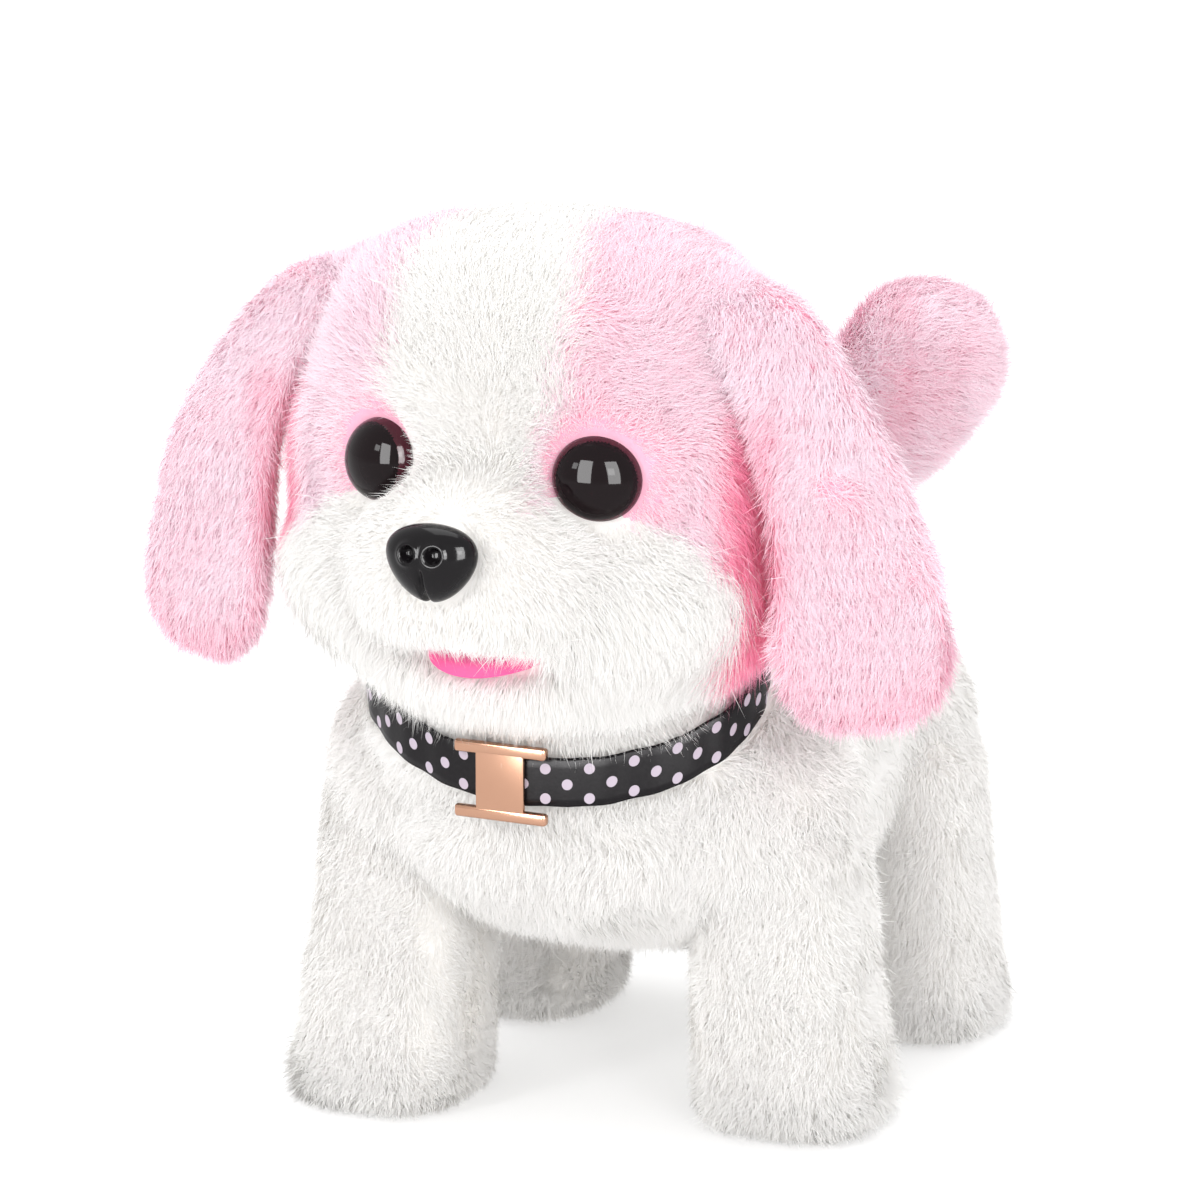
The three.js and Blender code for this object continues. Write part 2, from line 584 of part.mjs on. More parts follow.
// The crankshaft turns both drive bars through an eccentric pin at each end, and a crown wheel
// takes the tail's drive off it towards the rear.
function buildCrank() {
  piece('crank_shaft', rodX(AXLE, -21.4, 21.4, CRANK.y, CRANK.z), 'steel');
  for (const side of [1, -1]) {
    const offset = -side * BAR.arm * Math.sin(rad(LEAN));
    const rise = side * Math.sqrt(CRANK.throw ** 2 - offset ** 2);
    const disc = rodX(6.6, side * (SHELL.half + GAP), side * 21.5, CRANK.y, CRANK.z, 20);
    const pin = rodX(AXLE, side * 21, side * (BAR.x0 - GAP), CRANK.y + offset, CRANK.z + rise, 10);
    const bore = rodX(AXLE + 0.1, side * 15, side * 25, CRANK.y, CRANK.z, 16);
    piece(side > 0 ? 'crank_disc_left' : 'crank_disc_right', cut(join(disc, pin), bore), 'frame');
  }
  piece('tail_pinion', gear(TEETH.bevel, 0, AXLE + 0.1, CRANK, [4.6, 7.4]), 'gear');

  const tip = (MODULE * TEETH.bevel) / 2 + 0.55 * MODULE + GAP;
  const face = rodY(7.9, tip + 1.6, tip + 3.4, 0, CRANK.z, 20);
  const teeth = [];
  for (let i = 0; i < TEETH.crown; i += 1) {
    teeth.push(box(4.6, 7.7, tip, tip + 2, -0.4, 0.4)
      .rotateY((i * 2 * Math.PI) / TEETH.crown).translate(0, 0, CRANK.z));
  }
  piece('crown_wheel', cut(join(face, ...teeth), rodY(AXLE + 0.1, 0, 20, 0, CRANK.z)), 'gear');
  const wagArm = 12;
  const wagThrow = wagArm * Math.sin(rad(26.5));
  const shaft = rodY(AXLE, tip + 0.6, 47.2, 0, CRANK.z);
  const disc = rodY(8.2, SHELL.rear + 0.6, SHELL.rear + 2.4, 0, CRANK.z, 20);
  const pin = rodY(AXLE, SHELL.rear + 2, TAIL.y - 2.9, 0, CRANK.z - wagThrow, 10);
  piece('tail_shaft', join(shaft, disc, pin), 'steel');
}

// ---------------------------------------------------------------- legs
function barPlace(side) {
  const turn = rad(side * LEAN);
  return { y: -BAR.arm * Math.sin(turn), z: HIP.z + BAR.arm * Math.cos(turn) };
}

function buildDriveBar(side) {
  const x0 = side * BAR.x0;
  const x1 = side * BAR.x1;
  const at = barPlace(side);
  const bar = plateX(link(-HIP.y + at.y, at.z, HIP.y + at.y, at.z, 4), x0, x1);
  const middle = plateX(link(at.y, at.z - 4.4, at.y, at.z + 4.4, 5.2), x0, x1);
  const slot = plateX(link(at.y, at.z - 4.8, at.y, at.z + 4.8, AXLE + 0.3), x0 - side, x1 + side);
  const holes = [-HIP.y, HIP.y].map((y) => rodX(AXLE + 0.35, x0 - side, x1 + side, y + at.y, at.z));
  piece(side > 0 ? 'drive_bar_left' : 'drive_bar_right', cut(join(bar, middle), slot, ...holes), 'frame');
}

function buildLeg(side, end) {
  const word = `${end < 0 ? 'front' : 'rear'}_${side > 0 ? 'left' : 'right'}`;
  const lean = side * LEAN;
  const hipY = end * HIP.y;
  const slope = Math.tan(rad(lean));
  const footY = hipY + HIP.z * slope;
  const turned = (geometry) => geometry.rotateX(rad(lean)).translate(0, hipY, HIP.z);

  const strut = turned(plateX(link(0, -46, 0, BAR.arm, 4.6), side * PLATE.x0, side * PLATE.x1));
  const shin = box(side * PLATE.x0, side * PLATE.x1, footY - 7, footY + 7, FOOT.low, 20);
  const tread = roundedRect(PLATE.x0, FOOT.x1, footY - FOOT.half, footY + FOOT.half, FOOT.corner);
  const foot = plateZ(tread, FOOT.low, FOOT.high, 3);
  if (side < 0) foot.translate(-PLATE.x0 - FOOT.x1, 0, 0);
  const hub = rodX(3.8, side * (SHELL.half + GAP), side * (PLATE.x0 + 0.5), hipY, HIP.z);
  const pull = turned(rodX(AXLE, side * (BAR.x0 - 0.2), side * (PLATE.x0 + 0.5), 0, BAR.arm));
  const bore = rodX(AXLE + 0.3, side * 15, side * 35, hipY, HIP.z);
  piece(`leg_frame_${word}`, cut(join(strut, shin, foot, hub, pull), bore), 'frame');

  const half = PAD.half;
  const sole = plateZ(roundedRect(PAD.x0, PAD.x1, footY - half, footY + half, 4), 0, PAD.thick, 3);
  if (side < 0) sole.translate(-PAD.x0 - PAD.x1, 0, 0);
  piece(`foot_pad_${word}`, sole, 'sole');

  const profile = [
    [0, LEG.foot], [0.8, LEG.foot], [0.97, 4], [1.04, 12], [1, 28], [0.93, 46], [0.9, HIP.z],
    [0.8, 70], [0.56, 77], [0.28, 80.4], [0, LEG.top],
  ].map(([r, z]) => new THREE.Vector2(r, z));
  const stump = new THREE.LatheGeometry(profile, 14).rotateX(Math.PI / 2);
  const at = stump.attributes.position;
  for (let i = 0; i < at.count; i += 1) {
    const z = at.getZ(i);
    at.setXYZ(
      i,
      side * LEG.x + (at.getX(i) * LEG.width) / 2,
      hipY + (at.getY(i) * LEG.length) / 2 + (HIP.z - z) * slope,
      z);
  }
  const room = FOOT.half + 0.7;
  piece(`leg_sleeve_${word}`, cut(
    stump,
    box(0, side * (PLATE.x1 + GAP), footY - 80, footY + 80, -10, 100),
    box(side * 20, side * (FOOT.x1 + 0.7), footY - room, footY + room, -5, FOOT.high + 0.5),
    box(side * 20, side * (PLATE.x1 + GAP), footY - 8, footY + 8, -5, 21),
    rodX(AXLE + GAP, side * 20, side * 31, hipY, HIP.z)), 'whitePlush');
}

// ---------------------------------------------------------------- tail
function buildTail() {
  const root = new THREE.Vector3(0, TAIL.y + 2, TAIL.z);
  const side = TAIL.reach * Math.sin(rad(TAIL.lean));
  const up = TAIL.reach * Math.cos(rad(TAIL.lean));
  const ball = new THREE.Vector3(side, TAIL.y + 1 + TAIL.back, TAIL.z + up);
  const at = (share) => root.clone().lerp(ball, share);

  const hub = rodY(4.5, TAIL.y - 2.5, TAIL.y + 4, 0, TAIL.z);
  const arm = roundBetween(2.2, at(0.04), at(0.8));
  const lever = box(-3.6, 3.6, TAIL.y - 2.5, TAIL.y, TAIL.z - 21, TAIL.z - 2);
  const slot = box(-AXLE - 0.3, AXLE + 0.3, TAIL.y - 5, TAIL.y + 3, TAIL.z - 19.4, TAIL.z - 5);
  piece('tail_frame', cut(join(hub, arm, lever), slot, rodY(AXLE + 0.3, 40, 70, 0, TAIL.z)), 'frame');
  piece('tail_pin', rodY(AXLE, 42.6, TAIL.y + 4.6, 0, TAIL.z), 'steel');

  const profile = [[0, 21], [7, 22], [9.6, 27], [10.4, 33], [12.4, 40], [15.2, 48]];
  for (let i = 0; i <= 5; i += 1) {
    const turn = rad(-20 + (110 * i) / 5);
    profile.push([TAIL.ball * Math.cos(turn), 57 + TAIL.ball * Math.sin(turn)]);
  }
  profile[profile.length - 1][0] = 0;
  const plush = new THREE.LatheGeometry(profile.map(([r, h]) => new THREE.Vector2(r, h)), 14);
  const way = ball.clone().sub(root).normalize();
  const turn = new THREE.Quaternion().setFromUnitVectors(new THREE.Vector3(0, 1, 0), way);
  plush.applyQuaternion(turn).translate(root.x, root.y, root.z);
  piece('tail_plush', cut(plush, roundBetween(2.6, at(0), at(0.83))), 'pinkPlush');
}

// ---------------------------------------------------------------- collar, axles, neck
function buildCollar() {
  piece('collar_ribbon', collarRing(0), 'ribbon');
  const front = COLLAR.long + COLLAR.thick / 2 + GAP;
  const drop = front * Math.tan(rad(COLLAR.slope));
  const plate = box(-5.2, 5.2, -front - 1.2, -front, -6, 6);
  const bars = [1, -1].map((up) => box(
    -10, 10, -front - 2.4, -front - 0.6, up * 6.4 - 1.3, up * 6.4 + 1.3));
  piece('collar_buckle', join(plate, ...bars).translate(0, COLLAR.y, COLLAR.z - drop), 'roseGold');
}

function buildAxles() {
  piece('axle_front', rodX(AXLE, -29, 29, -HIP.y, HIP.z), 'steel');
  piece('axle_rear', rodX(AXLE, -29, 29, HIP.y, HIP.z), 'steel');
  const foot = box(-8.5, 8.5, NECK.y - 4, NECK.y + 8, SHELL.top + 0.3, SHELL.top + 3);
  const lug = plateX(link(NECK.y, NECK.z, NECK.y + 1, SHELL.top + 4, 4), -4.4, 4.4);
  const base = cut(join(foot, lug), box(-9, 9, -60, 0, 80, SHELL.top + 0.3));
  piece('neck_bracket', cut(base, rodX(AXLE + 0.25, -10, 10, NECK.y, NECK.z)), 'frame');
  piece('neck_pin', rodX(AXLE, -8.2, 8.2, NECK.y, NECK.z), 'steel');
}

// ---------------------------------------------------------------- assembly
buildBodyPlush();
buildShell();
buildPower();
buildGears();
buildCrank();
buildAxles();
for (const side of [1, -1]) {
  buildDriveBar(side);
  for (const end of [-1, 1]) buildLeg(side, end);
}
buildTail();
buildHead();
for (const side of [1, -1]) buildEar(side);
buildCollar();

export default dog;
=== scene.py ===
"""The looks of the walking plush puppy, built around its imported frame.

Lengths are in millimetres in the design's own frame and turned to metres by at() and MM. Each
plush part is a smooth skin with a pile of separate tapered hairs standing on it.
"""

import json
import math

import bmesh
import bpy
import numpy as np
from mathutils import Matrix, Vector


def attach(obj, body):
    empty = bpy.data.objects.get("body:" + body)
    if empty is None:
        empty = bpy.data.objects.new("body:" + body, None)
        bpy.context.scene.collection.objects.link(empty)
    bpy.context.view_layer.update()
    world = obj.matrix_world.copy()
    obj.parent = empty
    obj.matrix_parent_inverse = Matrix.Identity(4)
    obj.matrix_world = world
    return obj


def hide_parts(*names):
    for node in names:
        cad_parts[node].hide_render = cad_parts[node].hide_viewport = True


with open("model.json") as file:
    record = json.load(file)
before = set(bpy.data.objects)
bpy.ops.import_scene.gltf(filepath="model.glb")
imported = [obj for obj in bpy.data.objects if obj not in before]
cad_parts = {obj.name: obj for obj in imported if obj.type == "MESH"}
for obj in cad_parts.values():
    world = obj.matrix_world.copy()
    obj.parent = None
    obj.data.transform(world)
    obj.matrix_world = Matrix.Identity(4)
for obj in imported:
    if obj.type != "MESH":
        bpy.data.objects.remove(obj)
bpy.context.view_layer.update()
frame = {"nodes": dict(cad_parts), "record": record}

MM = 0.001
DOWN = np.array([0.0, 0.0, -1.0])
joints = {joint["name"]: joint for joint in frame["record"]["behaviour"]["joints"]}
CENTRE_Y = joints["head_nod"]["pos_m"][1] / MM + 40.0       # the neck hinge is drawn at y = -40


def at(x, y, z):
    """A point of the design's frame as a Blender point in metres."""
    return Vector((x * MM, (y + CENTRE_Y) * MM, z * MM))


def points_at(points):
    """The same for an array of points."""
    return (np.asarray(points, dtype=float) + np.array([0.0, CENTRE_Y, 0.0])) * MM


def mirror(point, side):
    """A point drawn on the dog's left, kept there for side 1 and moved to its right for side -1."""
    return np.array(point) * np.array([side, 1, 1])


# ---------------------------------------------------------------- studio, in metres
FLOOR_HALF = 6.0
FLOOR_GLOW = 0.42                                           # the table is lit from below
WINDOW_SIZE = (0.65, 1.25)
WINDOW_POWER = 62.0
SENSOR = 36.0
PHOTO_WIDTH = 1200                                          # pixels
PIXEL_SIZE = 0.21 * MM                                      # at the camera's target


def build_floor(scene):
    mesh = bpy.data.meshes.new("floor")
    far = FLOOR_HALF
    corners = [(-far, -far, 0), (far, -far, 0), (far, far, 0), (-far, far, 0)]
    mesh.from_pydata(corners, [], [(0, 1, 2, 3)])
    floor = bpy.data.objects.new("floor", mesh)
    scene.collection.objects.link(floor)
    acrylic = plain("floor_acrylic", (0.70, 0.70, 0.70), roughness=0.9, specular=0.0)
    shader = acrylic.node_tree.nodes["Principled BSDF"]
    shader.inputs["Emission Color"].default_value = (1.0, 1.0, 1.0, 1)
    shader.inputs["Emission Strength"].default_value = FLOOR_GLOW
    floor.data.materials.append(acrylic)


def build_studio():
    scene = bpy.context.scene
    build_floor(scene)

    world = bpy.data.worlds.new("studio")
    world.use_nodes = True
    sky = world.node_tree.nodes["Background"]
    sky.inputs["Color"].default_value = (1.0, 1.0, 1.0, 1)
    sky.inputs["Strength"].default_value = 1.0
    scene.world = world

    softbox("key", (-0.60, -1.20, 0.75), (0.3, 0.3), 4.0)
    softbox("side", (0.95, -0.85, 0.55), (0.3, 0.3), 3.0)
    softbox("top", (-0.20, 0.35, 1.5), (0.9, 0.9), 7.0)
    softbox("window_left", (-0.07, -1.36, 0.50), WINDOW_SIZE, WINDOW_POWER, only_gloss=True)
    softbox("window_right", (1.09, -0.82, 0.50), WINDOW_SIZE, WINDOW_POWER, only_gloss=True)

    scene.view_settings.view_transform = "Standard"
    scene.view_settings.look = "None"
    scene.cycles.max_bounces = 10
    scene.cycles.diffuse_bounces = 9
    scene.cycles.glossy_bounces = 3
    scene.cycles.transmission_bounces = 4
    scene.cycles.transparent_max_bounces = 8


def softbox(name, place, size, power, only_gloss=False):
    """A rectangular lamp turned to the toy; one that is only_gloss shows in the eyes and nose alone."""
    light = bpy.data.lights.new(name, "AREA")
    light.shape = "RECTANGLE"
    light.size, light.size_y = size
    light.energy = power
    lamp = bpy.data.objects.new(name, light)
    lamp.visible_camera = False
    lamp.visible_diffuse = not only_gloss
    lamp.location = place
    lamp.rotation_euler = (Vector((0, 0, 0.1)) - lamp.location).to_track_quat("-Z", "Y").to_euler()
    bpy.context.scene.collection.objects.link(lamp)


def build_camera():
    azimuth = math.radians(25)
    lift = math.radians(13)
    distance = 0.9
    target = at(-11.6, -5.4, 100)
    away = Vector((math.sin(azimuth) * math.cos(lift), -math.cos(azimuth) * math.cos(lift), math.sin(lift)))
    data = bpy.data.cameras.new("camera")
    data.sensor_width = SENSOR
    data.lens = SENSOR * distance / (PIXEL_SIZE * PHOTO_WIDTH)
    camera = bpy.data.objects.new("camera", data)
    camera.location = target + away * distance
    camera.rotation_euler = (-away).to_track_quat("-Z", "Y").to_euler()
    bpy.context.scene.collection.objects.link(camera)
    bpy.context.scene.camera = camera


# ---------------------------------------------------------------- materials
def plain(name, colour, roughness=0.5, metallic=0.0, specular=0.5, sheen=0.0):
    material = bpy.data.materials.new(name)
    material.use_nodes = True
    shader = material.node_tree.nodes["Principled BSDF"]
    shader.inputs["Base Color"].default_value = (*colour, 1)
    shader.inputs["Roughness"].default_value = roughness
    shader.inputs["Metallic"].default_value = metallic
    shader.inputs["Specular IOR Level"].default_value = specular
    shader.inputs["Sheen Weight"].default_value = sheen
    shader.inputs["Sheen Roughness"].default_value = 0.6
    return material


def noisy(name, low, high, scale, roughness, bump=0.0, metallic=0.0):
    """A moulded, drawn or woven surface: colour, gloss and bump follow one fine noise."""
    material = plain(name, low, metallic=metallic)
    tree = material.node_tree
    shader = tree.nodes["Principled BSDF"]
    place = tree.nodes.new("ShaderNodeTexCoord")
    noise = tree.nodes.new("ShaderNodeTexNoise")
    noise.inputs["Scale"].default_value = scale
    noise.inputs["Detail"].default_value = 4.0
    tree.links.new(place.outputs["Object"], noise.inputs["Vector"])
    tint = tree.nodes.new("ShaderNodeMix")
    tint.data_type = "RGBA"
    tint.inputs["A"].default_value = (*low, 1)
    tint.inputs["B"].default_value = (*high, 1)
    tree.links.new(noise.outputs["Fac"], tint.inputs["Factor"])
    tree.links.new(tint.outputs["Result"], shader.inputs["Base Color"])
    gloss = tree.nodes.new("ShaderNodeMapRange")
    gloss.inputs["To Min"].default_value = roughness[0]
    gloss.inputs["To Max"].default_value = roughness[1]
    tree.links.new(noise.outputs["Fac"], gloss.inputs["Value"])
    tree.links.new(gloss.outputs["Result"], shader.inputs["Roughness"])
    if bump:
        relief = tree.nodes.new("ShaderNodeBump")
        relief.inputs["Strength"].default_value = bump
        relief.inputs["Distance"].default_value = 0.1 * MM
        tree.links.new(noise.outputs["Fac"], relief.inputs["Height"])
        tree.links.new(relief.outputs["Normal"], shader.inputs["Normal"])
    return material


# ---------------------------------------------------------------- mesh tools
def new_object(name, verts, faces, materials):
    mesh = bpy.data.meshes.new(name)
    mesh.from_pydata([tuple(v) for v in verts], [], [tuple(f) for f in faces])
    for material in materials:
        mesh.materials.append(material)
    mesh.shade_smooth()
    thing = bpy.data.objects.new(name, mesh)
    bpy.context.scene.collection.objects.link(thing)
    return thing


def ball(detail):
    """Unit directions and triangles of an evenly divided sphere."""
    form = bmesh.new()
    bmesh.ops.create_icosphere(form, subdivisions=detail, radius=1.0)
    verts = np.array([v.co[:] for v in form.verts])
    faces = np.array([[v.index for v in f.verts] for f in form.faces])
    form.free()
    return verts / np.linalg.norm(verts, axis=1)[:, None], faces


BLEND = 9.0                         # the larger, the sharper the seams between forms
SKIN_DETAIL = 7
REACH = 130.0                       # farther out than any form
HALVINGS = 34


def lump(centre, size, power=2.0):
    """One rounded form: its middle, its half sizes and how square it is."""
    return np.array(centre), np.array(size), power


def lump_pair(centre, size, power=2.0):
    """The same form on the dog's left and on its right."""
    return [lump(mirror(centre, side), size, power) for side in (1, -1)]


def level(points, forms):
    """Below 1 inside the rounded forms run together, 1 on their common skin."""
    total = np.zeros(len(points))
    for centre, size, power in forms:
        part = np.abs((points - centre) / size)
        g = (part ** power).sum(axis=1) ** (1.0 / power)
        total += np.exp(-BLEND * g)
    return -np.log(np.maximum(total, 1e-300)) / BLEND


def shrink_wrap(centre, forms):
    """A sphere of rays from the centre, each drawn out to the forms' common skin."""
    ways, faces = ball(SKIN_DETAIL)
    near = np.zeros(len(ways))
    far = np.full(len(ways), REACH)
    for _ in range(HALVINGS):
        middle = (near + far) / 2
        inside = level(centre + ways * middle[:, None], forms) < 1
        near = np.where(inside, middle, near)
        far = np.where(inside, far, middle)
    return centre + ways * near[:, None], faces


def vertex_normals(verts, faces):
    a, b, c = (verts[faces[:, i]] for i in range(3))
    flat = np.cross(b - a, c - a)
    normals = np.zeros_like(verts)
    for i in range(3):
        np.add.at(normals, faces[:, i], flat)
    return normals / np.maximum(np.linalg.norm(normals, axis=1)[:, None], 1e-12)


def unit(vectors):
    return vectors / np.maximum(np.linalg.norm(vectors, axis=-1, keepdims=True), 1e-9)


def smooth_step(value, low, high):
    t = np.clip((value - low) / (high - low), 0, 1)
    return t * t * (3 - 2 * t)


def waves(points, scale, seed):
    """A smooth, seeded noise in three directions: a sum of slow waves of about the given length."""
    count = 7
    rng = np.random.default_rng(seed)
    field = np.zeros_like(points)
    for _ in range(count):
        way = rng.normal(size=3)
        way /= np.linalg.norm(way)
        phase = points @ way * (2 * math.pi / (scale * rng.uniform(0.7, 1.5))) + rng.uniform(0, 6.28)
        field += np.sin(phase)[:, None] * rng.normal(size=3)
    return field / math.sqrt(count)


def within(points, centre, radius):
    return np.linalg.norm(points - centre, axis=1) < radius


def scatter(verts, faces, per_cm2, rng, keep=None):
    """Random places on a skin, evenly by area, with their normals."""
    a, b, c = (verts[faces[:, i]] for i in range(3))
    area = np.linalg.norm(np.cross(b - a, c - a), axis=1) / 2
    total = int(area.sum() / 100.0 * per_cm2)
    chosen = rng.choice(len(faces), size=total, p=area / area.sum())
    u, v = rng.random(total), rng.random(total)
    over = u + v > 1
    u[over], v[over] = 1 - u[over], 1 - v[over]
    w = 1 - u - v
    normals = vertex_normals(verts, faces)
    place = sum(k[:, None] * verts[faces[chosen, i]] for i, k in enumerate((w, u, v)))
    facing = unit(sum(k[:, None] * normals[faces[chosen, i]] for i, k in enumerate((w, u, v))))
    if keep is not None:
        good = keep(place)
        place, facing = place[good], facing[good]
    return place, facing


def tuft_middle(points, cell):
    """The middle of the tuft that each point grows in: one for each cubic cell, placed by a hash."""
    index = np.floor(points / cell)
    mixed = index @ np.array([[127.1, 269.5, 419.2], [311.7, 183.3, 371.9], [74.7, 246.1, 3.1]]) + 17.0
    jitter = np.modf(np.abs(np.sin(mixed) * 43758.5453))[0]
    return (index + 0.25 + 0.5 * jitter) * cell


# ---------------------------------------------------------------- hairs
HAIR_POINTS = 5                     # two at the root, two at the bend, one at the tip
STRAY_SHARE = 0.07                  # the few hairs that stand out of the pile
ROOT_SINK = 0.6
DROOP = 0.25
FLOOR_GAP = 0.25
LARGEST_TURN = 0.6                  # radians
HEAD_HAIRS = 1150                   # on each square centimetre
EAR_HAIRS = 1250
BODY_HAIRS = 950
LEG_HAIRS = 950
TAIL_HAIRS = 1050


def hair_lines(roots, normals, comb, length, rng, stand, tuft, cell, wild):
    """Start, bend and tip of each hair: it stands on the skin, lies along comb and leans to its tuft."""
    count = len(roots)
    stand = np.broadcast_to(np.reshape(stand, (-1, 1)), (count, 1))
    stray = rng.random(count) < STRAY_SHARE
    side_noise = rng.normal(size=(count, 3)) * wild * np.where(stray, 1.8, 1.0)[:, None]
    lean = unit(comb + side_noise)
    lean -= (lean * normals).sum(axis=1)[:, None] * normals
    lean = unit(lean)
    first = unit(normals * stand + lean * (1 - stand) + side_noise * 0.6)
    second = unit(normals * stand * 0.45 + lean * (1.15 - stand) + side_noise * 0.9 + DOWN * DROOP)
    length = length * rng.uniform(0.75, 1.1, size=count) * np.where(stray, 1.2, 1.0)
    start = roots - normals * ROOT_SINK
    bend = start + first * (length * 0.5)[:, None]
    tip = bend + second * (length * 0.5)[:, None]

    goal = tuft_middle(roots, cell)
    goal = goal + ((roots - goal) * normals).sum(axis=1)[:, None] * normals
    toward = goal - roots
    pull = (tuft * rng.uniform(0.4, 1.0, size=count))[:, None]
    tip = tip + toward * pull
    bend = bend + toward * pull * 0.4
    bend[:, 2] = np.maximum(bend[:, 2], FLOOR_GAP)
    tip[:, 2] = np.maximum(tip[:, 2], FLOOR_GAP)
    return start, bend, tip


def hair_blades(start, bend, tip, normals, width, rng):
    """The corners of each hair's tapered blade, whether it is turned over, and its shading normal."""
    count = len(start)
    along = unit(tip - start)
    across = np.cross(along, normals)
    weak = np.linalg.norm(across, axis=1) < 0.15            # hairs that stand straight up
    across[weak] = np.cross(along[weak], unit(rng.normal(size=(int(weak.sum()), 3))))
    across = unit(across)
    turn = rng.uniform(-LARGEST_TURN, LARGEST_TURN, size=count)[:, None]
    across = unit(across * np.cos(turn) + np.cross(along, across) * np.sin(turn))
    outward = np.cross(across, along)
    outward *= np.sign((outward * normals).sum(axis=1) + 1e-9)[:, None]
    edge = across * (width * rng.uniform(0.7, 1.3, size=count) / 2)[:, None]
    corners = [start - edge, start + edge, bend - edge * 0.85, bend + edge * 0.85, tip]
    flip = (np.cross(2 * edge, bend - start) * outward).sum(axis=1) < 0
    shading = unit(normals * 0.97 + outward * 0.03)
    return np.stack(corners, axis=1), flip, shading


def hair_mesh(name, verts, flip, shading, tint):
    """One mesh of hairs with three triangles each: two below the bend and one above it."""
    count = len(verts)
    blade = np.array([[0, 1, 3], [0, 3, 2], [2, 3, 4]])
    local = np.where(flip[:, None, None], blade[None, :, ::-1], blade[None])
    tris = (local + (np.arange(count) * HAIR_POINTS)[:, None, None]).reshape(-1, 3)
    mesh = bpy.data.meshes.new(name)
    mesh.vertices.add(count * HAIR_POINTS)
    mesh.vertices.foreach_set("co", points_at(verts.reshape(-1, 3)).astype(np.float32).ravel())
    mesh.loops.add(len(tris) * 3)
    mesh.loops.foreach_set("vertex_index", tris.astype(np.int32).ravel())
    mesh.polygons.add(len(tris))
    mesh.polygons.foreach_set("loop_start", np.arange(0, len(tris) * 3, 3, dtype=np.int32))
    mesh.polygons.foreach_set("material_index", tint.astype(np.int32).reshape(-1))
    mesh.update(calc_edges=True)
    mesh.shade_smooth()
    mesh.normals_split_custom_set_from_vertices(np.repeat(shading, HAIR_POINTS, axis=0))
    return mesh


def pile(name, roots, normals, comb, length, tint, materials, body, rng,
         width, stand, tuft, cell, wild=0.14, parts=1):
    """The hairs of one skin, shared out among a number of objects."""
    start, bend, tip = hair_lines(roots, normals, comb, length, rng, stand, tuft, cell, wild)
    verts, flip, shading = hair_blades(start, bend, tip, normals, width, rng)
    order = rng.permutation(len(roots))
    for part, pick in enumerate(np.array_split(order, parts)):
        mesh = hair_mesh(name, verts[pick], flip[pick], shading[pick], tint[pick])
        for material in materials:
            mesh.materials.append(material)
        thing = bpy.data.objects.new(name if parts == 1 else f"{name}_{part + 1}", mesh)
        bpy.context.scene.collection.objects.link(thing)
        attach(thing, body)


# ---------------------------------------------------------------- shapes, in millimetres
HIP_Y, HIP_Z = 34.0, 62.0
LEAN = math.radians(10)

HEAD_MIDDLE = np.array([0.0, -60.0, 130.0])
HEAD_FORMS = [
    lump((0, -52, 147), (45.5, 32.5, 41.4), 2.6),                       # skull
    lump((0, -62, 119), (50.0, 28.5, 23.5)),                            # cheeks
    *lump_pair((36, -63, 139), (12.0, 12.0, 20.0)),                     # temples
    *lump_pair((37, -55, 163), (13.5, 11.0, 14.5)),                     # where the ears are sewn on
    lump((0, -82, 125), (24.0, 20.5, 16.5), 2.1),                       # muzzle
    lump((0, -64, 102.5), (30.0, 16.0, 11.0)),                          # chin
]
BODY_MIDDLE = np.array([0.0, -6.0, 78.0])
BODY_FORMS = [
    lump((0, 0, 75.5), (47.5, 66.5, 40.5), 2.6),                        # belly and back
    lump((0, -48, 88), (38, 22, 17.5)),                                 # neck, inside the collar
    *lump_pair((37.5, -34.5, 69), (18.5, 17.5, 20), 2.1),               # over the front legs
    *lump_pair((36, 37, 68), (17.5, 18.5, 20), 2.1),                    # over the rear legs
]
EYE_AT = np.array([22.8, -80.2, 142.6])
EYE_RADIUS = 8.7
EYE_WAY = unit(np.array([0.36, -0.93, 0.06]))
NOSE_AT = np.array([0.0, -104.6, 129.0])
MOUTH_Z = 108.2
COLLAR_AT = np.array([0.0, -46.5, 98.1])
COLLAR_HALF = np.array([42.5, 28.4])
COLLAR_SLOPE = math.tan(math.radians(32.5))
COLLAR_ROLL = 0.06                                          # worn a little higher on one side
RIBBON_HALF = 4.9


# Each root tint is darker than its tip: painted shade deep in the pile. The deepest pinks also paint the
# shade of the folds beside the ears.
PILE_COLOURS = {
    "white_pile_root": (0.960, 0.943, 0.917),
    "white_pile_mid": (0.966, 0.954, 0.934),
    "white_pile_tip": (0.972, 0.963, 0.950),
    "pink_pile_deep": (0.995, 0.30, 0.47),
    "pink_pile_root": (0.992, 0.53, 0.66),
    "pink_pile_mid": (0.992, 0.66, 0.77),
    "pink_pile_tip": (0.992, 0.76, 0.845),
    "pink_pile_pale": (0.994, 0.85, 0.92),
}
(WHITE_ROOT, WHITE_MID, WHITE_TIP,
 PINK_DEEP, PINK_ROOT, PINK_MID, PINK_TIP, PINK_PALE) = range(len(PILE_COLOURS))


def plush_materials():
    """The colours that every pile draws on, in the order of the tint numbers."""
    return [plain(name, colour, 0.9, specular=0.05, sheen=0.1) for name, colour in PILE_COLOURS.items()]


def white_tints(count, rng):
    """The tint numbers of each white hair's three triangles, root to tip: a random tone, with the darker
    root as painted shade.
    """
    shade = rng.random(count)
    root = np.where(shade < 0.35, WHITE_ROOT, WHITE_MID)
    tip = np.where(shade < 0.5, WHITE_MID, WHITE_TIP)
    return np.stack([root, root, tip], axis=1)


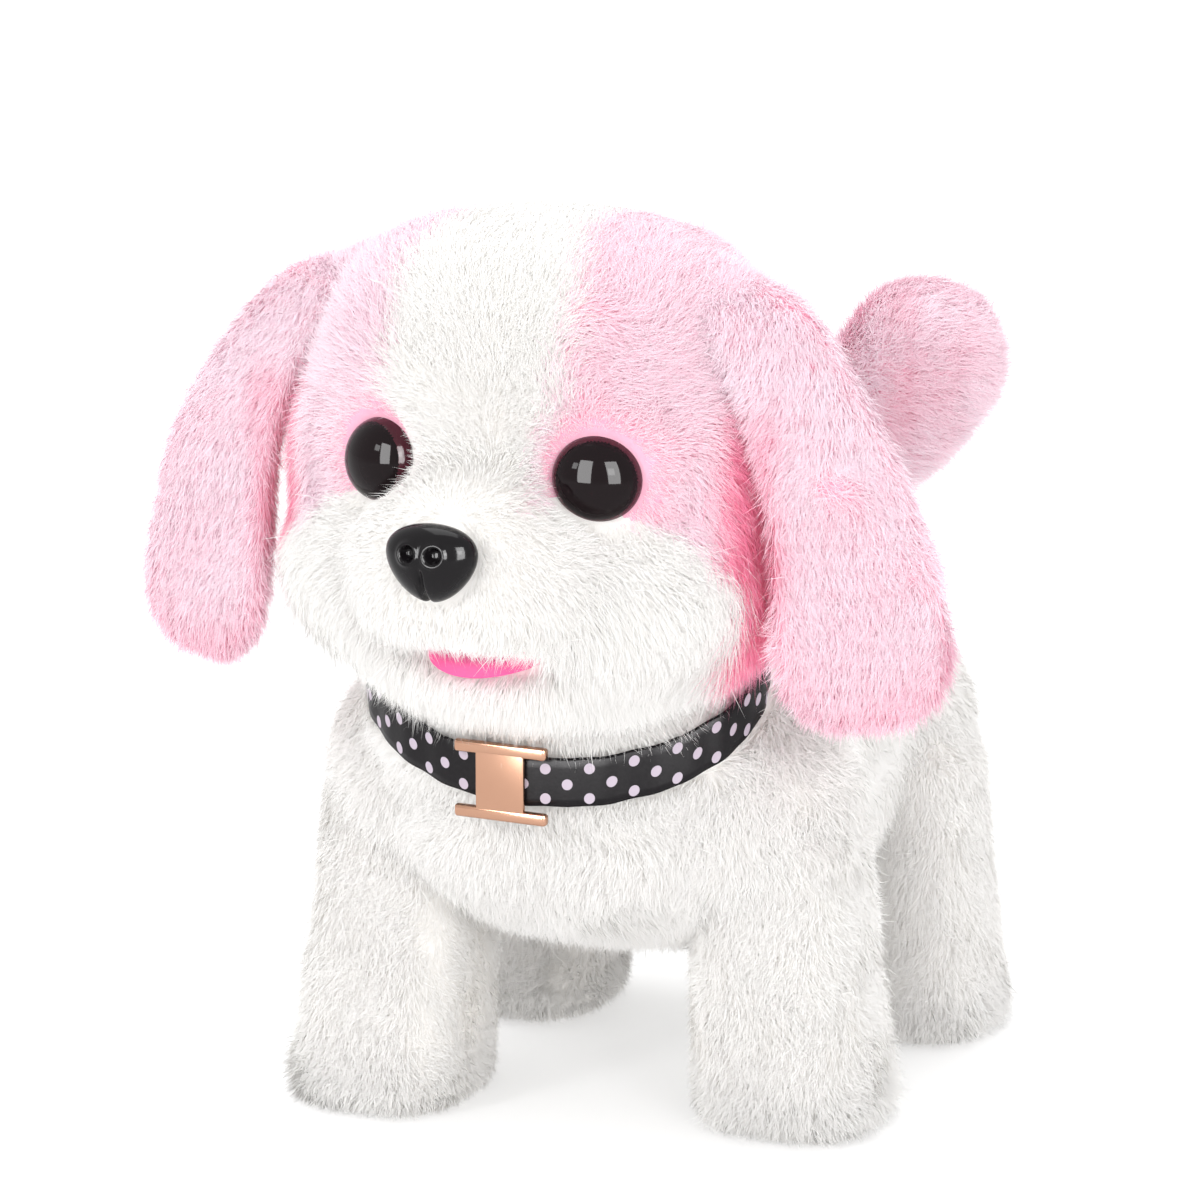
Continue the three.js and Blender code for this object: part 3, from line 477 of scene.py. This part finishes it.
def pink_tints(depth, rng):
    """The same for pink hairs: pale where depth is 0, deep where it is 1, each root one step deeper as
    painted shade.
    """
    shade = rng.random(len(depth)) * 0.5 + depth * 0.8
    steps = [shade < 0.35, shade < 0.75, shade < 1.05, shade < 1.3]
    tip = np.select(steps, [PINK_PALE, PINK_TIP, PINK_MID, PINK_ROOT], PINK_DEEP)
    root = np.maximum(tip - 1, PINK_DEEP)
    return np.stack([root, root, tip], axis=1)


def skin_piece(name, verts, faces, material, body, node):
    thing = new_object(name, points_at(verts), faces, [material])
    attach(thing, body)
    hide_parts(node)
    return thing


def mixed_tints(pink, depth, rng):
    """Tints where a white and a pink skin meet: pink is each hair's chance of being pink."""
    tint = white_tints(len(pink), rng)
    take = rng.random(len(pink)) < pink
    tint[take] = pink_tints(depth, rng)[take]
    return tint


# ---------------------------------------------------------------- head
def face_border(points):
    """How pink the head is: the middle panel, muzzle, lower cheeks and chin are white."""
    x, y, z = points.T
    ax = np.abs(x)
    wander = waves(points, 9, 41)[:, 0] * 0.8
    blaze = 15.0 + 5.5 * smooth_step(z, 146, 157) - 4.0 * smooth_step(z, 176, 190)
    blaze -= 4.0 * smooth_step(x, 0, 10)
    side = smooth_step(ax + wander, blaze - 4.5, blaze + 5.0)
    fall = 139.5 - 22.0 * (np.maximum(ax - 26, 0) / 26) ** 2 - 0.8 * np.maximum(y + 70, 0)
    fall -= 3.5 * smooth_step(ax, 20, 28) * (1 - smooth_step(ax, 38, 46))
    above = smooth_step(z + wander, fall - 2.5, fall + 2.5)
    behind = smooth_step(x + 0.5 * y, 8, 13) * smooth_step(y, -74, -68)
    return side * np.maximum(above, behind)


def head_depth(points):
    """Painted shade: deep pink in the fold behind the cheeks, where the ears hang. Pale on the right brow.
    """
    x, y, z = points.T
    ax = np.abs(x)
    fold = smooth_step(ax, 38.5, 44) * smooth_step(-z, -167, -151) * smooth_step(y, -80, -71)
    fold *= smooth_step(-y, 46, 64)
    return 0.25 + 1.3 * fold - 0.35 * smooth_step(-x, 5, 20) * (1 - fold)


def carve_face(verts, normals):
    """Sinks the eyes and the mouth into the stuffed head and puffs the lips over the mouth."""
    for side in (1, -1):
        gap = np.linalg.norm(verts - mirror(EYE_AT, side), axis=1)
        verts -= normals * (2.4 * np.exp(-(gap / 9.5) ** 4))[:, None]
        lip = np.linalg.norm((verts - mirror((9.0, -97, 118), side)) / np.array([9, 12, 7]), axis=1)
        verts += normals * (2.2 * np.exp(-lip ** 2))[:, None]
    x, y, z = verts.T
    mouth = np.exp(-((z - MOUTH_Z) / 3.6) ** 2) * np.exp(-(x / 15.0) ** 4) * (y < -70)
    verts[:, 1] += 8.0 * mouth
    return verts


def face_comb(roots):
    """The lie of the pile: out from the bridge of the nose, back over the head, down the cheeks."""
    x, y, z = roots.T
    comb = unit(roots - np.array([0.0, -96.0, 134.0]))
    low = smooth_step(-z, -128, -110)[:, None]
    comb = unit(comb * (1 - 0.75 * low) + (DOWN + np.array([0, 0.15, 0])) * 0.9 * low)
    top = smooth_step(z, 158, 172)[:, None]
    comb = unit(comb * (1 - 0.6 * top) + np.array([0, 0.9, 0.1]) * 0.6 * top)
    cheek = (smooth_step(np.abs(x), 28, 44) * smooth_step(-z, -160, -140))[:, None]
    comb = unit(comb * (1 - 0.5 * cheek) + DOWN * 0.7 * cheek)
    return unit(comb + waves(roots, 20, 3) * 0.35)


def build_head(pile_mats):
    rng = np.random.default_rng(11)
    verts, faces = shrink_wrap(HEAD_MIDDLE, HEAD_FORMS)
    verts = carve_face(verts, vertex_normals(verts, faces))
    # Both backings are darker than the hair above them: painted shade at the bottom of the pile.
    backing = noisy("white_backing", (0.92, 0.90, 0.87), (0.95, 0.93, 0.90), 900, (0.8, 0.95), 0.4)
    pink_backing = noisy("pink_backing", (0.98, 0.40, 0.56), (0.985, 0.52, 0.66), 900, (0.8, 0.95), 0.4)
    skin = skin_piece("head_skin", verts, faces, backing, "head", "head_plush")
    skin.data.materials.append(pink_backing)
    middle = verts[faces].mean(axis=1)
    skin.data.polygons.foreach_set("material_index", (face_border(middle) > 0.5).astype(np.int32))

    def keep(points):
        """No hair grows under the nose, the eyes or the tongue."""
        x, y, z = points.T
        clear = ~within(points, NOSE_AT + np.array([0, 3.0, 0]), 7.8)
        for side in (1, -1):
            clear &= ~within(points, mirror(EYE_AT + np.array([1.0, 0, 1.0]), side), 8.15)
        slot = (np.abs(x) < 12.5) & (np.abs(z - MOUTH_Z + 0.5) < 3.4) & (y < -72)
        return clear & ~slot

    roots, facing = scatter(verts, faces, HEAD_HAIRS, rng, keep)
    x, y, z = roots.T
    comb = face_comb(roots)
    spread = np.linalg.norm(roots - NOSE_AT, axis=1)
    length = 4.0 + 4.0 * smooth_step(spread, 10, 36)
    length -= 2.6 * smooth_step(z, 142, 156) * (1 - smooth_step(np.abs(x), 18, 30))
    length += 2.0 * smooth_step(-z, -116, -100)
    for side in (1, -1):
        from_eye = roots - mirror(EYE_AT, side)
        gap = np.linalg.norm(from_eye, axis=1)
        length = np.where(gap < 16, np.minimum(length, 2.4 + (gap - 9.0) * 0.6), length)
        ring = smooth_step(-gap, -15, -9)[:, None]
        comb = unit(comb * (1 - 0.8 * ring) + unit(from_eye) * 0.8 * ring)
    fringe = (np.abs(x) < 16) & (z > MOUTH_Z + 1.5) & (z < MOUTH_Z + 12) & (y < -78)
    length = np.where(fringe, 2.5 + 5.0 * rng.random(len(roots)) ** 1.6, length)
    whisker = np.exp(-((np.abs(x) - 17) / 8) ** 2 - ((z - 112) / 6) ** 2) * (y < -70)
    length += 4.0 * whisker * rng.random(len(roots)) ** 2
    jaw = smooth_step(np.abs(x), 36, 44) * smooth_step(-z, -124, -114) * smooth_step(y, -76, -68)
    length += 3.5 * jaw
    tint = mixed_tints(face_border(roots), head_depth(roots), rng)
    pile("head_pile", roots, facing, comb, length, tint, pile_mats, "head", rng,
         width=0.13, stand=0.46, tuft=0.30, cell=3.4, parts=5)


def build_eyes():
    black = plain("eye_glass", (0.009, 0.005, 0.006), 0.05, specular=0.13)
    maroon = plain("eye_rim", (0.060, 0.012, 0.020), 0.10, specular=0.2)
    for side in (1, -1):
        word = "left" if side > 0 else "right"
        ways, faces = ball(5)
        facing = mirror(EYE_WAY, side)
        turn = Vector((0, 0, 1)).rotation_difference(Vector(facing)).to_matrix()
        half = np.where(ways[:, 2] > 0, 6.2, 2.0)
        local = ways * np.array([EYE_RADIUS, EYE_RADIUS * 0.95, 1.0])
        local[:, 2] = ways[:, 2] * half + 0.4
        verts = local @ np.array(turn).T + mirror(EYE_AT, side)
        eye = new_object(f"eye_dome_{word}", points_at(verts), faces, [black, maroon])
        rim = np.hypot(ways[:, 0], ways[:, 1])[faces].mean(axis=1) > 0.90
        eye.data.polygons.foreach_set("material_index", rim.astype(np.int32))
        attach(eye, "head")
        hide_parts(f"eye_{word}")


def build_nose():
    gloss = plain("nose_plastic", (0.008, 0.007, 0.008), 0.12, specular=0.16)
    ways, faces = ball(6)
    x, y, z = ways.T
    verts = np.stack([x * 9.1 * (1 + 0.2 * z), y * 5.6, z * 7.5 + 0.6 * (1 - z ** 2)], axis=1)
    front = y < 0
    for side in (1, -1):
        hole = np.hypot(verts[:, 0] - side * 2.7, verts[:, 2] - 2.4)
        verts[:, 1] += np.where(front, 1.9 * np.exp(-(hole / 1.35) ** 4), 0)
        rim = np.exp(-((hole - 2.0) / 0.5) ** 2)
        verts[:, 1] -= np.where(front, 0.35 * rim, 0)
    cleft = np.exp(-(verts[:, 0] / 0.5) ** 2) * smooth_step(-verts[:, 2], -0.5, 2.0)
    verts[:, 1] += np.where(front, 1.0 * cleft, 0)
    verts[:, 2] += 0.9 * cleft * smooth_step(-verts[:, 2], 4.5, 7.0)
    nose = new_object("nose_button", points_at(verts + NOSE_AT), faces, [gloss])
    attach(nose, "head")
    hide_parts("nose")


def build_tongue():
    felt = noisy("tongue_cloth", (0.84, 0.06, 0.25), (0.96, 0.11, 0.36), 1400, (0.75, 0.95), 0.6)
    ways, faces = ball(5)
    x, y, z = ways.T
    plan = np.maximum(np.hypot(x, y), 1e-6)
    thick = np.sign(z) * np.abs(z) ** 0.6 * 3.6
    verts = np.stack([x * 12.6, y * 13.0 - 79.0, thick + MOUTH_Z - 0.5], axis=1)
    verts[:, 2] -= 0.012 * np.maximum(-78.0 - verts[:, 1], 0) ** 2 * plan
    tongue = new_object("tongue_felt", points_at(verts), faces, [felt])
    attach(tongue, "head")
    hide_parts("tongue")


# ---------------------------------------------------------------- ears
EAR_SPINE = np.array([
    [35.0, -58.0, 177.0],
    [50.0, -63.0, 168.5],
    [63.0, -65.0, 146.0],
    [69.5, -64.0, 121.0],
    [72.0, -65.0, 95.0],
])


def spline(knots, along):
    """Points and headings at even lengths on a Catmull-Rom curve through the knots."""
    spans = len(knots) - 1
    padded = np.vstack([2 * knots[0] - knots[1], knots, 2 * knots[-1] - knots[-2]])

    def curve(place):
        index = np.minimum(place.astype(int), spans - 1)
        t = (place - index)[:, None]
        p0, p1, p2, p3 = (padded[index + k] for k in range(4))
        square = 2 * p0 - 5 * p1 + 4 * p2 - p3
        cube = 3 * p1 - p0 - 3 * p2 + p3
        point = 0.5 * (2 * p1 + (p2 - p0) * t + square * t ** 2 + cube * t ** 3)
        heading = 0.5 * ((p2 - p0) + 2 * square * t + 3 * cube * t ** 2)
        return point, unit(heading)

    steps = np.linspace(0, spans, 400)
    line = curve(steps)[0]
    run = np.concatenate([[0], np.cumsum(np.linalg.norm(np.diff(line, axis=0), axis=1))])
    return curve(np.interp(np.clip(along, 0, 1) * run[-1], run, steps))


def build_ear(side, pile_mats):
    word = "left" if side > 0 else "right"
    rng = np.random.default_rng(21 + side)
    ways, faces = ball(6)
    along = np.arccos(np.clip(ways[:, 2], -1, 1)) / math.pi
    place, heading = spline(EAR_SPINE, 0.02 + 0.96 * along)
    twist = np.radians(17 + 10 * (1 - smooth_step(along, 0, 0.45)))
    across = np.stack([np.cos(twist), np.sin(twist), np.zeros_like(twist)], axis=1)
    across = unit(across - (across * heading).sum(axis=1)[:, None] * heading)
    outward = unit(np.cross(across, heading))
    turn = np.arctan2(ways[:, 1], ways[:, 0])
    close = np.sqrt(np.maximum(0, 1 - np.abs(2 * along - 1) ** 7))
    width = (9.6 + 7.0 * smooth_step(along, 0.2, 0.92)) * close
    thick = 3.5 * close
    flat = np.sign(np.cos(turn)) * np.abs(np.cos(turn)) ** 0.8
    verts = place + across * (width * np.sin(turn))[:, None] + outward * (thick * flat)[:, None]
    verts = verts + outward * (-1.8 * np.sin(turn) ** 2 * smooth_step(along, 0.2, 0.6))[:, None]
    verts[:, 0] *= side
    if side > 0:
        faces = faces[:, ::-1]
    body = f"ear_{word}"
    backing = bpy.data.materials["pink_backing"]
    skin_piece(f"ear_skin_{word}", verts, faces, backing, body, f"ear_{word}")

    def outside_head(points):
        return level(mirror(points, side), HEAD_FORMS) > 0.97

    roots, facing = scatter(verts, faces, EAR_HAIRS, rng, outside_head)
    x, y, z = roots.T
    hang = np.tile(np.array([0.10 * side, 0.0, -1.0]), (len(roots), 1))
    comb = unit(hang + waves(roots, 24, 7 + side) * 0.5)
    length = 5.6 + rng.normal(size=len(roots)) * 0.4
    inner = smooth_step(-side * x, -60, -54)                # the edge that faces the cheek, painted deeper pink below as the crease's shade
    depth = 0.02 + 0.55 * smooth_step(-z, -118, -98) + 0.14 * waves(roots, 16, 19)[:, 1]
    depth -= 0.25 * smooth_step(z, 138, 158)
    depth += 0.85 * inner * (1 - smooth_step(z, 154, 164))
    tint = pink_tints(depth, rng)
    pile(f"ear_pile_{word}", roots, facing, comb, length, tint, pile_mats, body, rng,
         width=0.13, stand=0.46, tuft=0.36, cell=4.6, wild=0.18, parts=2)


# ---------------------------------------------------------------- body
def build_body(pile_mats):
    rng = np.random.default_rng(31)
    verts, faces = shrink_wrap(BODY_MIDDLE, BODY_FORMS)
    backing = bpy.data.materials["white_backing"]
    skin_piece("body_skin", verts, faces, backing, "root", "body_plush")
    roots, facing = scatter(verts, faces, BODY_HAIRS, rng)
    x, y, z = roots.T
    comb = np.stack([0.12 * np.sign(x), 0.35 * np.ones_like(x), -1.0 * np.ones_like(x)], axis=1)
    comb = unit(comb * 0.9 + waves(roots, 17, 5) * 0.6)
    length = 6.6 + rng.normal(size=len(roots)) * 0.5
    ring = z - (COLLAR_AT[2] + (y - COLLAR_AT[1]) * COLLAR_SLOPE - x * COLLAR_ROLL)
    radial = np.hypot(x / COLLAR_HALF[0], (y - COLLAR_AT[1]) / COLLAR_HALF[1])
    under_ribbon = (np.abs(ring + 0.5) < 6.0) & (radial > 0.75) & (y < -20)
    length = np.where(under_ribbon, 2.2, length)
    tint = white_tints(len(roots), rng)
    pile("body_pile", roots, facing, comb, length, tint, pile_mats, "root", rng,
         width=0.14, stand=0.52, tuft=0.28, cell=4.2, wild=0.2, parts=6)


# ---------------------------------------------------------------- legs
LEG_X = 40.8
SLEEVE_FOOT = 0.4                                           # the sleeve's lower edge
SLEEVE_TALL = 78
SLEEVE_DOME = 78.3                                          # where its rounded top closes
SLEEVE_HALF = (17.2, 16.6)
SQUARENESS = 3.0


def build_leg(side, end, pile_mats):
    word = f"{'front' if end < 0 else 'rear'}_{'left' if side > 0 else 'right'}"
    rng = np.random.default_rng(51 + side + 3 * end)
    ways, faces = ball(6)
    slope = math.tan(side * LEAN)
    height = (ways[:, 2] + 1) / 2
    z = SLEEVE_FOOT + SLEEVE_TALL * height
    plan = unit(ways[:, :2] + 1e-9)
    square = (np.abs(plan) ** SQUARENESS).sum(axis=1) ** (-1 / SQUARENESS)
    foot = np.minimum(1, (z - SLEEVE_FOOT) / 4.0) ** 0.1
    dome = np.minimum(1, np.maximum(0, (SLEEVE_DOME - z) / 15.0)) ** 0.5
    bulge = 1.0 + 0.05 * np.exp(-((z - 14) / 12) ** 2) - 0.05 * smooth_step(z, 20, 60)
    ring = foot * dome * bulge * square
    x = side * LEG_X + plan[:, 0] * ring * SLEEVE_HALF[0]
    y = end * HIP_Y + plan[:, 1] * ring * SLEEVE_HALF[1] + (HIP_Z - z) * slope
    verts = np.stack([x, y, z], axis=1)
    backing = bpy.data.materials["white_backing"]
    body = f"leg_{word}"
    skin_piece(f"leg_skin_{word}", verts, faces, backing, body, f"leg_sleeve_{word}")

    def outside_body(points):
        return (points[:, 2] > 0.9) & (level(points, BODY_FORMS) > 0.86)

    roots, facing = scatter(verts, faces, LEG_HAIRS, rng, outside_body)
    z = roots[:, 2]
    down = np.stack([np.zeros_like(z), slope * np.ones_like(z), -np.ones_like(z)], axis=1)
    comb = unit(down * 0.9 + waves(roots, 15, 9 + end) * 0.5)
    length = (5.6 + rng.normal(size=len(roots)) * 0.3) * (1.15 - 0.15 * smooth_step(z, 4, 14))
    inner = side * roots[:, 0] < 30
    length = np.where(inner, length * 0.6, length)
    tint = white_tints(len(roots), rng)
    stand = 0.52 + 0.32 * smooth_step(-z, -18, -4)
    pile(f"leg_pile_{word}", roots, facing, comb, length, tint, pile_mats, body,
         rng, width=0.14, stand=stand, tuft=0.28, cell=4.0, wild=0.2)


# ---------------------------------------------------------------- tail
TAIL_ROOT = np.array([0.0, 54.0, 88.0])
TAIL_LEAN = math.radians(29)
TAIL_RISE = 62.5
TAIL_BACK = 20.0
TAIL_START = 9                                              # the skin starts inside the body
BALL_AT = 65.0
BALL_RADIUS = 15.5


def build_tail(pile_mats):
    rng = np.random.default_rng(71)
    way = unit(np.array([TAIL_RISE * math.sin(TAIL_LEAN), TAIL_BACK, TAIL_RISE * math.cos(TAIL_LEAN)]))
    u = unit(np.cross(way, np.array([0.0, 1.0, 0.0])))
    v = np.cross(way, u)
    ways, faces = ball(6)
    h = TAIL_START + (BALL_AT + BALL_RADIUS - TAIL_START) * (ways[:, 2] + 1) / 2
    plan = unit(ways[:, :2] + 1e-9)
    ball_ring = np.sqrt(np.maximum(0, 1 - ((h - BALL_AT) / BALL_RADIUS) ** 2)) * BALL_RADIUS
    stalk = 7.0 + 8.5 * smooth_step(h, 22, 60)
    ring = np.where(h > BALL_AT, ball_ring, np.maximum(ball_ring, stalk))
    ring *= np.minimum(1, np.maximum(h - TAIL_START, 0) / 5.0) ** 0.5
    spread_u = u * (plan[:, 0] * ring)[:, None]
    spread_v = v * (plan[:, 1] * ring)[:, None]
    verts = TAIL_ROOT + way * h[:, None] + spread_u + spread_v
    if ((verts - verts.mean(axis=0)) * vertex_normals(verts, faces)).sum() < 0:
        faces = faces[:, ::-1]
    backing = bpy.data.materials["pink_backing"]
    skin_piece("tail_skin", verts, faces, backing, "tail", "tail_plush")
    roots, facing = scatter(verts, faces, TAIL_HAIRS, rng)
    rise = (roots - TAIL_ROOT) @ way
    comb = way + np.cross(way, facing) * 0.8
    comb = unit(comb + waves(roots, 16, 13) * 0.5)
    length = 5.0 + 1.8 * smooth_step(rise, 15, 40)
    tint = pink_tints(0.25 + 0.12 * waves(roots, 14, 23)[:, 0], rng)
    pile("tail_pile", roots, facing, comb, length, tint, pile_mats, "tail", rng,
         width=0.14, stand=0.52, tuft=0.38, cell=4.4)


# ---------------------------------------------------------------- collar
DOT_STEP = 8.8
DOT_RADIUS = 1.1
DOT_SIDES = 16
ROW_GAP = 3.0
RIBBON_DEPTH = 0.5                  # from the collar's line to the buckle's back
BUCKLE_GAP = 0.4
PLATE = (10.4, 1.2, 12.6)
BAR = (20, 1.9, 2.5)
BAR_UP = 6.6


def collar_line(count):
    """Even steps round the collar's oval, starting at the back, and its run in millimetres."""
    fine = np.linspace(0, 2 * math.pi, 2000)
    line = np.stack([COLLAR_HALF[0] * np.sin(fine), COLLAR_HALF[1] * np.cos(fine)], axis=1)
    line3 = np.column_stack([line, line[:, 1] * COLLAR_SLOPE])
    run = np.concatenate([[0], np.cumsum(np.linalg.norm(np.diff(line3, axis=0), axis=1))])
    angle = np.interp(np.linspace(0, run[-1], count, endpoint=False), run, fine)
    return angle, run[-1]


def ribbon_point(angle, up, out):
    """A point of the ribbon: up across its width, out from its inner face."""
    way = np.stack([np.sin(angle) / COLLAR_HALF[0], np.cos(angle) / COLLAR_HALF[1]], axis=1)
    way = unit(way)
    x = COLLAR_HALF[0] * np.sin(angle) + way[:, 0] * out
    y = COLLAR_HALF[1] * np.cos(angle) + way[:, 1] * out
    return np.stack([x, y, y * COLLAR_SLOPE - x * COLLAR_ROLL + up], axis=1) + COLLAR_AT


def ripple(angle):
    """The cloth's small waves, as a distance outward."""
    return 0.12 * np.sin(angle * 17) + 0.10 * np.sin(angle * 29 + 1)


def build_band(angle):
    """The ribbon's closed band: its outline across the width, carried round the collar."""
    satin = noisy("ribbon_cloth", (0.004, 0.003, 0.004), (0.010, 0.008, 0.010), 1500, (0.32, 0.46), 0.25)
    satin.node_tree.nodes["Principled BSDF"].inputs["Specular IOR Level"].default_value = 0.15
    outer = [(-RIBBON_HALF, -0.10), (-4.6, 0.30), (-3.0, 0.36), (0.0, 0.38), (3.0, 0.36), (4.6, 0.30)]
    inner = [(RIBBON_HALF, -0.10), (3.0, -0.22), (0.0, -0.24), (-3.0, -0.22)]
    outline = outer + inner
    wave = ripple(angle)
    rings = [ribbon_point(angle, up, out + wave) for up, out in outline]
    verts = np.stack(rings, axis=1).reshape(-1, 3)
    count = len(angle)
    depth = len(outline)
    faces = []
    for i in range(count):
        here = i * depth
        ahead = (i + 1) % count * depth
        for j in range(depth):
            k = (j + 1) % depth
            faces.append((here + j, here + k, ahead + k, ahead + j))
    ribbon = new_object("ribbon", points_at(verts), faces, [satin])
    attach(ribbon, "root")
    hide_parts("collar_ribbon")
    return ribbon


def build_dots(angle, run):
    """The printed dots: thin discs on the band, every other column shifted by one row."""
    ink = plain("ribbon_dots", (0.52, 0.45, 0.53), 0.5, specular=0.2)
    spokes = np.linspace(0, 2 * math.pi, DOT_SIDES, endpoint=False)
    runs = np.linspace(0, run, len(angle) + 1)
    angles = np.append(angle, 2 * math.pi)
    columns = int(run // (DOT_STEP / 2))
    verts, faces = [], []
    for column in range(columns):
        centre = column / columns * run
        for row in (-1, 0, 1):
            if (column + row) % 2:
                continue
            along = np.append(centre + DOT_RADIUS * np.cos(spokes), centre)
            up = np.append(row * ROW_GAP + DOT_RADIUS * np.sin(spokes), row * ROW_GAP)
            spot = np.interp(along % run, runs, angles)
            first = len(verts)
            middle = first + DOT_SIDES
            verts.extend(ribbon_point(spot, up, 0.40 + ripple(spot)))
            faces.extend((first + k, first + (k + 1) % DOT_SIDES, middle) for k in range(DOT_SIDES))
    dots = new_object("ribbon_dots", points_at(np.array(verts)), faces, [ink])
    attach(dots, "root")
    return dots


def build_ribbon():
    angle, run = collar_line(220)
    ribbon = build_band(angle)
    dots = build_dots(angle, run)


def rounded_bar(centre, size, bevel):
    form = bmesh.new()
    bmesh.ops.create_cube(form, size=1.0)
    bmesh.ops.scale(form, vec=size, verts=form.verts)
    bmesh.ops.bevel(form, geom=list(form.edges), offset=bevel, segments=4, profile=0.5, affect="EDGES")
    bmesh.ops.triangulate(form, faces=form.faces)
    verts = np.array([v.co[:] for v in form.verts]) + np.array(centre)
    faces = np.array([[v.index for v in f.verts] for f in form.faces])
    form.free()
    return verts, faces


def build_buckle():
    gold = noisy("rose_gold_plate", (0.43, 0.24, 0.16), (0.50, 0.29, 0.20), 60, (0.16, 0.26), metallic=1.0)
    front = COLLAR_HALF[1] + RIBBON_DEPTH + BUCKLE_GAP
    pieces = [rounded_bar((0, -front - 0.6, 0), PLATE, 0.35)]
    for up in (1, -1):
        verts, faces = rounded_bar((0, -front - 1.4, up * BAR_UP), BAR, 0.7)
        verts[:, 1] += 0.012 * verts[:, 0] ** 2
        pieces.append((verts, faces))
    verts, faces = [], []
    first = 0
    for part_verts, part_faces in pieces:
        verts.append(part_verts)
        faces.append(part_faces + first)
        first += len(part_verts)
    place = COLLAR_AT + np.array([0, 0, -front * COLLAR_SLOPE])
    buckle = new_object("buckle", points_at(np.vstack(verts) + place), np.vstack(faces), [gold])
    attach(buckle, "root")
    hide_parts("collar_buckle")


# ---------------------------------------------------------------- what the plush hides
# Each slot's dark and light colour, the scale of its noise, its range of roughness and its bump.
FINISHES = {
    "shell_plastic": ((0.66, 0.67, 0.68), (0.74, 0.75, 0.76), 300, (0.4, 0.55), 0.2),
    "frame_plastic": ((0.48, 0.49, 0.51), (0.56, 0.57, 0.59), 300, (0.4, 0.55), 0.2),
    "gear_plastic": ((0.78, 0.77, 0.71), (0.86, 0.85, 0.79), 300, (0.35, 0.5), 0.1),
    "steel": ((0.55, 0.56, 0.58), (0.66, 0.67, 0.69), 800, (0.2, 0.35), 0.1),
    "tin_plate": ((0.62, 0.63, 0.64), (0.74, 0.75, 0.76), 700, (0.25, 0.4), 0.1),
    "battery_label": ((0.09, 0.20, 0.38), (0.13, 0.26, 0.46), 200, (0.25, 0.35), 0.0),
    "circuit_board": ((0.03, 0.20, 0.09), (0.06, 0.28, 0.14), 600, (0.35, 0.5), 0.2),
    "dark_plastic": ((0.03, 0.03, 0.034), (0.05, 0.05, 0.055), 400, (0.45, 0.6), 0.2),
    "sole_rubber": ((0.70, 0.68, 0.65), (0.78, 0.76, 0.73), 500, (0.75, 0.9), 0.3),
}
METALS = ("steel", "tin_plate")


def paint_inside():
    """Every node that no visual piece replaces takes the real finish of its material slot."""
    looks = {}
    for slot, finish in FINISHES.items():
        looks[slot] = noisy(slot, *finish, metallic=float(slot in METALS))
    for part in frame["record"]["subparts"]:
        look = looks.get(part["material_slot"])
        if look is None:
            continue
        node = frame["nodes"][part["node"]]
        node.data.materials.clear()
        node.data.materials.append(look)


# ---------------------------------------------------------------- everything
build_camera()
build_studio()
pile_mats = plush_materials()
build_head(pile_mats)
build_eyes()
build_nose()
build_tongue()
for side in (1, -1):
    build_ear(side, pile_mats)
build_body(pile_mats)
for side in (1, -1):
    for end in (-1, 1):
        build_leg(side, end, pile_mats)
build_tail(pile_mats)
build_ribbon()
build_buckle()
paint_inside()
